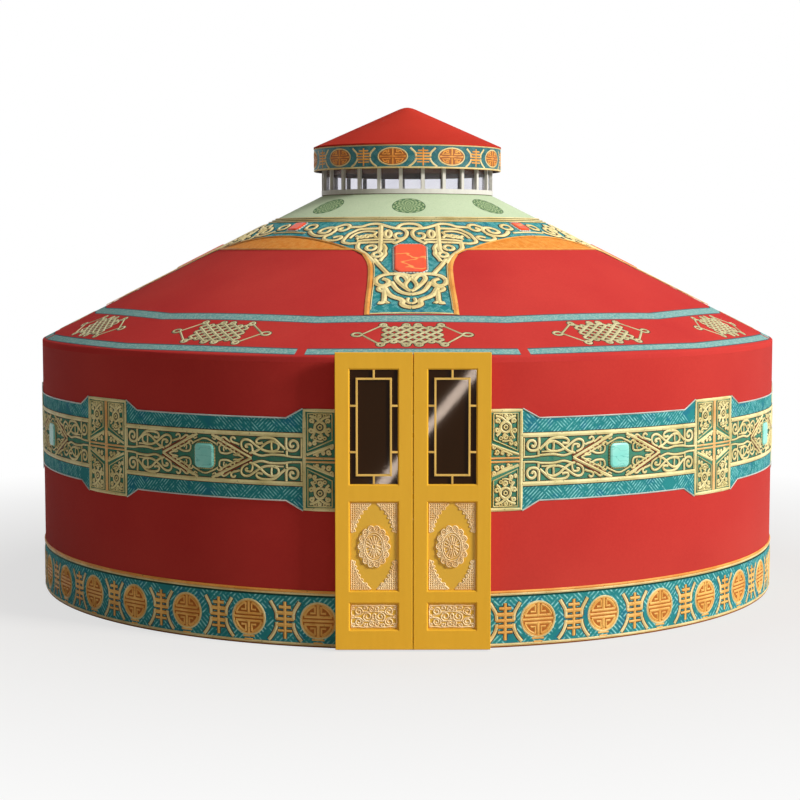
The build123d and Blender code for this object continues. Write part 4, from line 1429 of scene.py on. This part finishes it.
corals = bmesh.new()
rims = bmesh.new()
PLAQUE = ((0, 1.711), 0.116, 0.196, 0.034)
GEM = ((0, 1.236), 0.058, 0.054, 0.014)
for k in range(8):
    centre, width, height, corner = PLAQUE if k % 2 == 0 else GEM
    to_roof = on_roof(k * pi / 4)
    add_to(corals, cabochon(lambda u, v, w: to_roof(u, v, w + ON_BAND), centre,
                            width, height, corner, 0.014))
    rim = beads(Pattern(), clipped(width + 0.009, height + 0.009, corner + 0.003), 0.026, 0.0068, centre)
    add_to(rims, raised(drawn(rim), to_roof, 0.007, ON_BAND))
piece("collar_stones", corals, CORAL, smooth=20)
piece("collar_settings", rims, SILVER, smooth=25)

# %% [markdown]
# The lantern's fascia is a painted ring with ornaments like the hem's, squashed to its
# height, and its inner face is a plain dark brown. The paint is one finish that asks how far
# from the axis it is, and the ornaments are raised strips as on the bands.

# %% Fascia
MOTIF_PITCH = radians(36)
MOTIF_START = radians(-9.4)
MOTIF_MIDDLE = (FASCIA_LOW + FASCIA_HIGH) / 2
MOTIF_WIDE, MOTIF_TALL = 0.118, 0.069


def fascia_paint():
    finish = Finish("fascia_paint")
    angle, radius = finish.around()
    colour, strokes = teal(finish, finish.times(angle, FASCIA_RADIUS), finish.z, 0.045)
    local = finish.times(finish.repeat(angle, MOTIF_PITCH, MOTIF_START), FASCIA_RADIUS / MOTIF_WIDE)
    above = finish.times(finish.math("SUBTRACT", finish.z, MOTIF_MIDDLE), 1 / MOTIF_TALL)
    away = finish.distance(local, above)
    # Dulled, then the ground of a medallion, and the edge above and below.
    colour = finish.over(colour, (0.62, (6, 62, 66)), (finish.ramp(away, 1.01, 0.99), (158, 88, 30)),
                         (finish.ramp(finish.z, FASCIA_HIGH - 0.010, FASCIA_HIGH - 0.008), (232, 196, 120)),
                         (finish.ramp(finish.z, FASCIA_LOW + 0.012, FASCIA_LOW + 0.010), (196, 140, 60)))
    inside = finish.ramp(radius, FASCIA_RADIUS - 0.0022, FASCIA_RADIUS - 0.0034)
    inner_brown = finish.between(finish.noise(14.0, 5.0), (66, 40, 24), (104, 66, 42))
    finish.bump(strokes, 0.0008, 0.5)
    return finish.coat(finish.mix(inside, colour, inner_brown), 0.5, Specular_IOR_Level=0.35)


back, ease = FASCIA_RADIUS - 0.006, 0.001
fascia_ring = spun([(back, FASCIA_LOW), (FASCIA_RADIUS - ease, FASCIA_LOW),
                    (FASCIA_RADIUS, FASCIA_LOW + ease), (FASCIA_RADIUS, FASCIA_HIGH - ease),
                    (FASCIA_RADIUS - ease, FASCIA_HIGH), (back, FASCIA_HIGH)], 0, tau, 120)
piece("fascia_ring", fascia_ring, fascia_paint(), stands_for=["lantern_fascia"], smooth=30)


def on_fascia(u, v, w):
    angle = u / FASCIA_RADIUS
    return Vector((sin(angle) * (FASCIA_RADIUS + w), -cos(angle) * (FASCIA_RADIUS + w), MOTIF_MIDDLE + v))


def fascia_medallion():
    drawing = Pattern()
    drawing.line([(0.018, 0.0185), (0.084, 0.0185), (0.068, 0.040), (0.032, 0.050), (0.032, 0.034),
                  (0.054, 0.033)], 0.0064)
    drawing.line([(0.0, 0.010), (0.0, 0.062)], 0.0074)
    drawing.line([(0.0, 0.0), (0.106, 0.0)], 0.0070)
    return drawing.both_ways()


def fascia_motifs():
    rims, fills = Pattern(), Pattern()
    whole = fascia_medallion()
    for k in range(10):
        place = (MOTIF_START + k * MOTIF_PITCH) * FASCIA_RADIUS
        fills.add(whole, x=place)
        rims.add(Pattern().ring((0, 0), MOTIF_WIDE, 0.0052, sides=24), x=place, high=0.575)
        between = place + MOTIF_PITCH * FASCIA_RADIUS / 2
        fills.add(stem_bars().resized(0.52), x=between, wide=0.95, high=0.54)
        rims.add(stem_horns().resized(0.60), x=between, wide=0.95, high=0.54)
    return rims, fills


fascia_rims, fascia_fills = fascia_motifs()
fascia_edges = Pattern()
for height, half in ((0.0885, 0.0042), (-0.0862, 0.0062)):
    run = [(tau * FASCIA_RADIUS * k / 120, height) for k in range(120)]
    fascia_edges.line(run + [(tau * FASCIA_RADIUS, height)], half)
for name, drawing, high, finish in (("fascia_rims", fascia_rims, 0.002, PALE_GOLD),
                                    ("fascia_fills", fascia_fills, 0.002, ORANGE_GOLD),
                                    ("fascia_edges", fascia_edges, 0.0025, PALE_GOLD)):
    relief(name, drawing, high, on_fascia, finish, sink=0.0003)

# %% [markdown]
# The cap is red canvas drawn tight over a light frame: a shallow cone with a rounded tip.
# It is a thin section carried round the axis, open on the axis so that it closes there.

# %% Cap
CAP_LOW, CAP_HIGH = heights("lantern_cap")
CAP_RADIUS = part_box("lantern_cap")[1].x


def cap_work():
    """A shallow cone with a rounded tip and a small turned-down rim."""
    rim = CAP_LOW + 0.012
    point = CAP_HIGH + 0.014
    slope = (point - rim) / CAP_RADIUS
    tip = 0.075
    shoulder = point - slope * tip
    outside = [(CAP_RADIUS, CAP_LOW), (CAP_RADIUS, rim)]
    outside += [(CAP_RADIUS + (tip - CAP_RADIUS) * k / 12, rim + (shoulder - rim) * k / 12)
                for k in range(1, 13)]
    for k in range(1, 6):
        radius = tip * (1 - k / 5)
        outside.append((radius, CAP_HIGH - (CAP_HIGH - shoulder) * (radius / tip) ** 1.7))
    thin, deep, near_axis = 0.005, 0.006, 0.05
    inside = [(radius - thin if radius > near_axis else radius, height - (deep if height > rim else 0))
              for radius, height in reversed(outside)]
    work = bmesh.new()
    corners = [work.verts.new((0, -radius, height)) for radius, height in outside + inside]
    sides = [work.edges.new(pair) for pair in zip(corners, corners[1:])]
    sides.append(work.edges.new((corners[-1], corners[0])))
    gap = [edge for edge in sides if all(abs(vert.co.y) < 0.0001 for vert in edge.verts)]
    bmesh.ops.delete(work, geom=gap, context="EDGES")
    bmesh.ops.spin(work, geom=work.verts[:] + work.edges[:], axis=(0, 0, 1), cent=(0, 0, 0), angle=tau,
                   steps=96, use_merge=True)
    bmesh.ops.remove_doubles(work, verts=work.verts, dist=0.0002)
    face_outwards(work)
    return work


cap = piece("cap_canvas", cap_work(), CAP_CANVAS, stands_for=["lantern_cap"], smooth=50)

# %% [markdown]
# Door leaves: gold paint over wood, with brush marks that run the way of the grain. The
# raised carving is bare wood under a thin gold glaze, so it is paler.

# %% Paint, wood, steel and glass


def painted(name, light, dark, roughness=0.45, along=(1.0, 1.0, 0.12)):
    finish = Finish(name)
    streaks = finish.noise(26.0, 5.0, finish.stretched(along))
    colour = finish.between(streaks, dark, light)
    colour = finish.over(colour, (finish.times(finish.noise(2.2, 3.0), 0.35), dark))
    finish.bump(streaks, 0.0012, 0.35)
    return finish.coat(colour, roughness, Specular_IOR_Level=0.15)


def timber(name, light, dark, along=(1.0, 1.0, 0.08)):
    finish = Finish(name)
    stretched = finish.stretched(along)
    rings = finish.noise(20.0, 5.0, stretched)
    fibres = finish.noise(140.0, 2.0, stretched)
    colour = finish.between(finish.ramp(rings, 0.3, 0.7), dark, light)
    colour = finish.over(colour, (finish.times(fibres, 0.3), [0.6 * v for v in dark]))
    finish.bump(finish.total(rings, fibres), 0.002, 0.4)
    return finish.coat(colour, 0.6, Specular_IOR_Level=0.35)


def window_glass(name, tint, clear, gloss, ior=1.45, roughness=0.04):
    finish = Finish(name)
    ripples = finish.noise(3.0, 2.0)
    colour = finish.between(ripples, tint, [min(255, 1.12 * v) for v in tint])
    finish.bump(ripples, 0.002, 0.15)
    return finish.coat(colour, roughness, Transmission_Weight=clear, Specular_IOR_Level=gloss, IOR=ior)


def steel():
    finish = Finish("hinge_steel_brushed")
    scratches = finish.noise(90.0, 4.0)
    colour = finish.between(scratches, (120, 118, 112), (168, 166, 160))
    return finish.coat(colour, 0.4, Metallic=0.9)


def carving():
    """The ground behind the raised carving: old gold paint with a fine grain."""
    finish = Finish("door_carving_ground")
    fine = finish.noise(110.0, 4.0)
    gold = finish.between(finish.noise(4.0, 3.0), (230, 178, 48), (240, 188, 56))
    gold = finish.over(gold, (finish.times(fine, 0.12), (150, 104, 30)))
    finish.bump(fine, 0.0005, 0.3)
    return finish.coat(gold, 0.5, Specular_IOR_Level=0.35)


SLOT_FINISHES = {
    "door_wood": painted("door_gold_paint", (244, 188, 54), (234, 176, 46)),
    "frame_wood": painted("frame_gold_paint", (224, 168, 48), (206, 150, 40)),
    "door_carving": carving(),
    "white_paint": painted("white_post_paint", (232, 230, 224), (206, 202, 196)),
    "lattice_wood": timber("lattice_laths", (196, 124, 62), (150, 86, 40)),
    "pole_wood": timber("roof_poles_wood", (190, 92, 44), (146, 62, 30), along=(0.1, 0.1, 1.0)),
    "crown_wood": timber("crown_rim_wood", (148, 88, 50), (96, 54, 32), along=(0.2, 0.2, 1.0)),
    "hinge_steel": steel(),
    "dark_glass": window_glass("door_dark_glass", (48, 27, 5), 0.10, 0.045),
    "clear_glass": window_glass("lantern_clear_glass", (226, 226, 236), 0.96, 0.3, 1.15),
}
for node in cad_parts.values():
    for index, name in enumerate([finish.name for finish in node.data.materials]):
        if name in SLOT_FINISHES:
            node.data.materials[index] = SLOT_FINISHES[name]
print("rigid nodes finished")

# %% [markdown]
# The window bars are slender planed strips, halved into each other. They are cut out of
# one grid, so they share their corners, then given their depth and eased edges.

# %% Window bars
BAR, SIDE_GAP, END_GAP = 0.0135, 0.0405, 0.0545
CROSSBARS = (0.281, 0.686)
IN_REBATE = 0.0008


def window_bars(name):
    low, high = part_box(name)
    middle, tall = (low.x + high.x) / 2, high.z - low.z
    across = [low.x, low.x + SIDE_GAP, low.x + SIDE_GAP + BAR, middle - BAR / 2, middle + BAR / 2,
              high.x - SIDE_GAP - BAR, high.x - SIDE_GAP, high.x]
    up = [low.z, low.z + END_GAP, low.z + END_GAP + BAR]
    for share in CROSSBARS:
        up += [low.z + share * tall - BAR / 2, low.z + share * tall + BAR / 2]
    up += [high.z - END_GAP - BAR, high.z - END_GAP, high.z]
    work = bmesh.new()
    bmesh.ops.create_grid(work, x_segments=7, y_segments=9, size=1)
    gaps = []
    for face in work.faces:
        centre = face.calc_center_median()
        i, j = int((centre.x + 1) / 2 * 7), int((centre.y + 1) / 2 * 9)
        frame_bar = 1 <= i <= 5 and 1 <= j <= 7 and (i in (1, 5) or j in (1, 7))
        stub = (i in (0, 6) and j in (3, 5)) or (i == 3 and j in (0, 8))
        if not frame_bar and not stub:
            gaps.append(face)
    for vert in work.verts:
        i, j = round((vert.co.x + 1) / 2 * 7), round((vert.co.y + 1) / 2 * 9)
        vert.co = (across[i], low.y + IN_REBATE, up[j])
    bmesh.ops.delete(work, geom=gaps, context="FACES")
    raised_up = bmesh.ops.extrude_face_region(work, geom=work.faces[:])["geom"]
    shift = [item for item in raised_up if isinstance(item, bmesh.types.BMVert)]
    bmesh.ops.translate(work, verts=shift, vec=(0, high.y - low.y - 0.0010, 0))
    face_outwards(work)
    rims = [edge for edge in work.edges if edge.calc_face_angle(0) > 1 and
            all(abs(vert.co.y - low.y - IN_REBATE) < 0.0001 for vert in edge.verts)]
    bmesh.ops.bevel(work, geom=rims, offset=0.0016, segments=2, profile=0.5, affect="EDGES", material=-1)
    return work


BAR_PAINT = painted("window_bar_paint", (246, 206, 118), (232, 184, 90))
for body in ("right_leaf", "left_leaf"):
    node = f"{body}_lattice"
    piece(f"{body}_window_bars", window_bars(node), BAR_PAINT, body=body, stands_for=[node])

# %% [markdown]
# A dark brown lining, grained like wood, runs round the lantern behind the top of its
# glass. It is a plain ring of thin board, so it is a section carried round the axis.

# %% Lantern lining
GLASS_TOP = heights("lantern_glazing")[1]
LINING_INNER, LINING_OUTER = 0.668, 0.675
LINING_LOW, LINING_HIGH = GLASS_TOP - 0.076, GLASS_TOP - 0.0005
lining = spun([(LINING_INNER, LINING_LOW), (LINING_OUTER, LINING_LOW), (LINING_OUTER, LINING_HIGH),
               (LINING_INNER, LINING_HIGH)], 0, tau, 96)
LINING_WOOD = timber("lantern_lining_wood", (120, 80, 54), (84, 52, 36), along=(0.2, 0.2, 1.0))
piece("lantern_lining", lining, LINING_WOOD, smooth=30)

# %% [markdown]
# Carving on each leaf: an oval medallion with a ring of lobes, a cross-hatched spandrel
# in each corner, and scrolls in the low panel. It is a raised drawing on the panels, the
# left leaf's a mirror image of the right's.

# %% Door carving
PANEL_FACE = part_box("right_leaf_glass")[0].y
BOSS_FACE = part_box("right_leaf_panels")[0].y
LEAF_MIDDLE = (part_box("right_leaf_lattice")[0].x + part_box("right_leaf_lattice")[1].x) / 2
PANEL_MIDDLE, PANEL_WIDE, PANEL_TALL = 0.7175, 0.1625, 0.3015
KICK_MIDDLE = 0.2375


def carved_medallion():
    drawing = Pattern()
    lobes = 14
    for k in range(lobes):
        a = tau * k / lobes
        centre = (0.0895 * cos(a), 0.1245 * sin(a))
        drawing.ring(centre, 0.0185, 0.0055, sides=10)
        drawing.ring(centre, 0.0070, 0.0045, sides=6)
        b = a + pi / lobes
        drawing.line([(0.076 * cos(b), 0.106 * sin(b)), (0.098 * cos(b), 0.136 * sin(b))], 0.0050)
    drawing.ring((0, 0), 0.069, 0.0062, squash=0.098 / 0.069, sides=28)
    drawing.ring((0, 0), 0.057, 0.0045, squash=0.082 / 0.057, sides=28)
    drawing.ring((0, 0), 0.013, 0.0060, squash=1.3, sides=10)
    for k in range(8):
        a = tau * (k + 0.5) / 8
        drawing.line([(0.016 * cos(a), 0.022 * sin(a)), (0.050 * cos(a), 0.072 * sin(a))], 0.0052)
        for side in (1, -1):
            drawing.curve([(0.018 * cos(a), 0.025 * sin(a)),
                           (0.036 * cos(a + side * 0.45), 0.050 * sin(a + side * 0.45)),
                           (0.052 * cos(a + side * 0.30), 0.074 * sin(a + side * 0.30))], 0.0048)
    return drawing


def spandrel():
    """One corner: square hatching behind a concave, scalloped edge."""
    drawing = Pattern()
    wide, tall = PANEL_WIDE - 0.008, PANEL_TALL - 0.008
    a, b = 0.1500, 0.2860
    low, near, step = 0.098, 0.022, 0.0150

    def edge_x(v):
        return a * sqrt(max(0.0, 1 - (v / b) ** 2))

    def edge_y(u):
        return b * sqrt(max(0.0, 1 - (u / a) ** 2))

    for k in range(10):
        u = wide - k * step
        bottom = max(low, edge_y(u) + 0.004)
        if u > near and bottom < tall - 0.006:
            drawing.line([(u, bottom), (u, tall)], 0.0044)
    for k in range(14):
        v = tall - k * step
        left = max(near, edge_x(v) + 0.004)
        if v > low and left < wide - 0.006:
            drawing.line([(left, v), (wide, v)], 0.0044)
    rim = [(edge_x(v), v) for v in [low + (b - 0.008 - low) * k / 12 for k in range(13)]]
    drawing.curve([(wide, low)] + rim + [(near, tall)], 0.0068)
    for k in range(1, 12, 2):
        drawing.ring((rim[k][0] - 0.004, rim[k][1] - 0.004), 0.0085, 0.0042, sides=8)
    drawing.line([(near, tall), (wide, tall), (wide, low)], 0.0060)
    drawing.curl((wide - 0.046, tall - 0.054), 0.030, 0.0062, 45, 1.4, inner=0.25)
    drawing.curl((wide - 0.094, tall - 0.026), 0.017, 0.0054, 200, 1.2, inner=0.3)
    drawing.curl((wide - 0.024, tall - 0.128), 0.017, 0.0054, 80, -1.2, inner=0.3)
    return drawing


def carved_kick():
    drawing = Pattern()
    half = Pattern()
    for x, y, radius, start, turns in ((0.044, 0.000, 0.038, 180, 1.7), (0.104, 0.034, 0.030, 200, -1.5),
                                       (0.104, -0.036, 0.030, 160, 1.5), (0.016, 0.052, 0.018, 300, 1.3),
                                       (0.016, -0.052, 0.018, 60, -1.3), (0.142, 0.000, 0.014, 180, 1.2),
                                       (0.060, 0.058, 0.016, 220, -1.2), (0.060, -0.058, 0.016, 140, 1.2),
                                       (0.142, 0.058, 0.013, 200, 1.1), (0.142, -0.060, 0.013, 160, -1.1)):
        half.curl((x, y), radius, 0.0058, start, turns, inner=0.2)
    half.curve([(0.0, 0.072), (0.030, 0.074), (0.070, 0.076), (0.110, 0.070), (0.152, 0.074)], 0.0052)
    half.curve([(0.0, -0.072), (0.034, -0.074), (0.074, -0.076), (0.114, -0.070), (0.152, -0.074)], 0.0052)
    half.curve([(0.0, 0.036), (0.020, 0.030), (0.070, 0.036), (0.090, 0.010), (0.128, 0.008)], 0.0052)
    half.curve([(0.0, -0.036), (0.020, -0.030), (0.070, -0.036), (0.092, -0.008), (0.128, -0.008)], 0.0052)
    half.line([(0.152, 0.074), (0.155, 0.030), (0.152, 0.0), (0.155, -0.034), (0.152, -0.074)], 0.0048)
    half.mirrored()
    drawing.ring((0, 0), 0.012, 0.0058, squash=1.6, sides=10)
    return drawing.add(half)


CARVED = gilt("pink_carved_wood", (255, 232, 190), (240, 202, 144), scale=150.0, roughness=0.55, grain=0.0006)
CARVINGS = (("medallion", carved_medallion(), 0.0065, BOSS_FACE, PANEL_MIDDLE),
            ("spandrels", spandrel().both_ways(), 0.0055, PANEL_FACE, PANEL_MIDDLE),
            ("kick_scrolls", carved_kick(), 0.0070, PANEL_FACE, KICK_MIDDLE))
for body, side in (("right_leaf", 1), ("left_leaf", -1)):
    for title, drawing, high, face, middle in CARVINGS:

        def on_panel(u, v, w):
            return Vector((side * (LEAF_MIDDLE + u), face - w, middle + v))

        relief(f"{body}_{title}", drawing, high, on_panel, CARVED, body=body)

# %% [markdown]
# The floor, the light and the camera. A pale floor takes the yurt's shadow. The key lamp
# is large but stands far off to the right, so its light is nearly parallel and the round
# wall turns slowly into shade. Weak lamps and a dim world keep the shaded side readable.

# %% Floor and backdrop
SHADOW_FADES, SHADOW_SHARE = (3.4, 8.0), 0.68
UNDER_WALL = (2.93, 2.98)


def stage_finish():
    """Pale for the camera and for reflections, with a soft shadow kept."""
    finish = Finish("pale_floor")
    finish.coat((0.55, 0.535, 0.51, 1.0), 0.9, Specular_IOR_Level=0.1)
    rays = finish.add("ShaderNodeLightPath").outputs
    direct = finish.math("MAXIMUM", rays["Is Camera Ray"],
                         finish.math("MAXIMUM", rays["Is Glossy Ray"], rays["Is Transmission Ray"]))
    glow = finish.add("ShaderNodeEmission", {"Color": (1, 1, 1, 1), "Strength": 1.0}).outputs[0]
    radius = finish.around()[1]
    share = finish.total(finish.times(finish.ramp(radius, *SHADOW_FADES), 1 - SHADOW_SHARE), SHADOW_SHARE)
    share = finish.times(share, finish.ramp(radius, *UNDER_WALL))
    mixed = finish.add("ShaderNodeMixShader", {0: finish.times(direct, share),
                                               1: finish.shader.outputs[0], 2: glow}).outputs[0]
    finish.tree.links.new(mixed, finish.tree.nodes["Material Output"].inputs["Surface"])
    return finish.material


floor_mesh = bmesh.new()
bmesh.ops.create_circle(floor_mesh, cap_ends=True, segments=64, radius=160)
bmesh.ops.translate(floor_mesh, verts=floor_mesh.verts, vec=(0, 0, -0.002))
floor_data = bpy.data.meshes.new("floor")
floor_mesh.to_mesh(floor_data)
floor_mesh.free()
floor = bpy.data.objects.new("floor", floor_data)
floor_data.materials.append(stage_finish())
bpy.context.scene.collection.objects.link(floor)

# %% World and lamps
world = bpy.data.worlds.new("studio")
bpy.context.scene.world = world
world.use_nodes = True
tree = world.node_tree
background = tree.nodes["Background"]
white = tree.nodes.new("ShaderNodeBackground")
for node, colour, strength in ((background, (1.0, 0.86, 0.77, 1), 0.095), (white, (1, 1, 1, 1), 1.0)):
    node.inputs["Color"].default_value = colour
    node.inputs["Strength"].default_value = strength
paths = tree.nodes.new("ShaderNodeLightPath")
seen = paths.outputs["Is Camera Ray"]
for kind in ("Is Glossy Ray", "Is Transmission Ray"):
    either = tree.nodes.new("ShaderNodeMath")
    either.operation = "MAXIMUM"
    tree.links.new(seen, either.inputs[0])
    tree.links.new(paths.outputs[kind], either.inputs[1])
    seen = either.outputs[0]
blend = tree.nodes.new("ShaderNodeMixShader")
for index, socket in enumerate((seen, background.outputs[0], white.outputs[0])):
    tree.links.new(socket, blend.inputs[index])
tree.links.new(blend.outputs[0], tree.nodes["World Output"].inputs["Surface"])


def area_lamp(name, power, size, colour):
    data = bpy.data.lights.new(name, "AREA")
    data.energy, data.size, data.color = power, size, colour
    made = bpy.data.objects.new(name, data)
    made.visible_camera = False
    bpy.context.scene.collection.objects.link(made)
    return made


def lamp(name, place, target, power, size, colour=(1, 1, 1)):
    """A soft lamp at a place, turned to a target."""
    made = area_lamp(name, power, size, colour)
    made.location = place
    made.rotation_euler = (Vector(target) - Vector(place)).to_track_quat("-Z", "Y").to_euler()


lamp("key", place=(37.3, -20.8, 22.6), target=(0, 0, 1.6), power=24600, size=10, colour=(1.0, 0.99, 0.95))
lamp("fill", place=(-6, -18, 7), target=(0, 0, 1.4), power=80, size=9, colour=(1.0, 0.88, 0.78))
lamp("top", place=(0, -2, 14), target=(0, 0, 2), power=400, size=8)


def strip_lamp(name, low, high, width, power, colour):
    """A thin lamp between two points, seen only as a gleam in glass and gold."""
    low, high = Vector(low), Vector(high)
    made = area_lamp(name, power, width, colour)
    made.data.shape, made.data.size_y = "RECTANGLE", (high - low).length
    along, out = (high - low).normalized(), Vector((0, 1, 0))
    made.matrix_world = Matrix.Translation((low + high) / 2) @ Matrix(
        (along.cross(-out), along, -out)).transposed().to_4x4()
    made.visible_diffuse = False


strip_lamp("gleam", low=(-0.47, -9.0, 0.050), high=(0.80, -9.0, 1.600), width=0.090, power=50,
           colour=(1.0, 0.80, 0.66))

# %% [markdown]
# The camera stands a long way off, above eye level, and looks slightly down. A long lens
# keeps the wall's sides nearly upright.

# %% Camera
CAMERA_PITCH, CAMERA_SWING = radians(-4.84), 0.00397
eye = Vector((-0.199, -15.195, 2.743))
turn = Vector((-eye.x, -eye.y, 0)).to_track_quat("-Z", "Y").to_matrix()
lens_data = bpy.data.cameras.new("camera")
lens_data.lens, lens_data.sensor_width = 81.63, 36.0
lens_data.clip_start, lens_data.clip_end = 0.1, 400
camera = bpy.data.objects.new("camera", lens_data)
pitch = Matrix.Rotation(CAMERA_PITCH, 3, "X")
swing = Matrix.Rotation(CAMERA_SWING, 3, "Z")
camera.rotation_euler = (swing @ turn @ pitch).to_euler()
camera.location = eye
bpy.context.scene.collection.objects.link(camera)
bpy.context.scene.camera = camera
bpy.context.scene.view_settings.view_transform = "Standard"
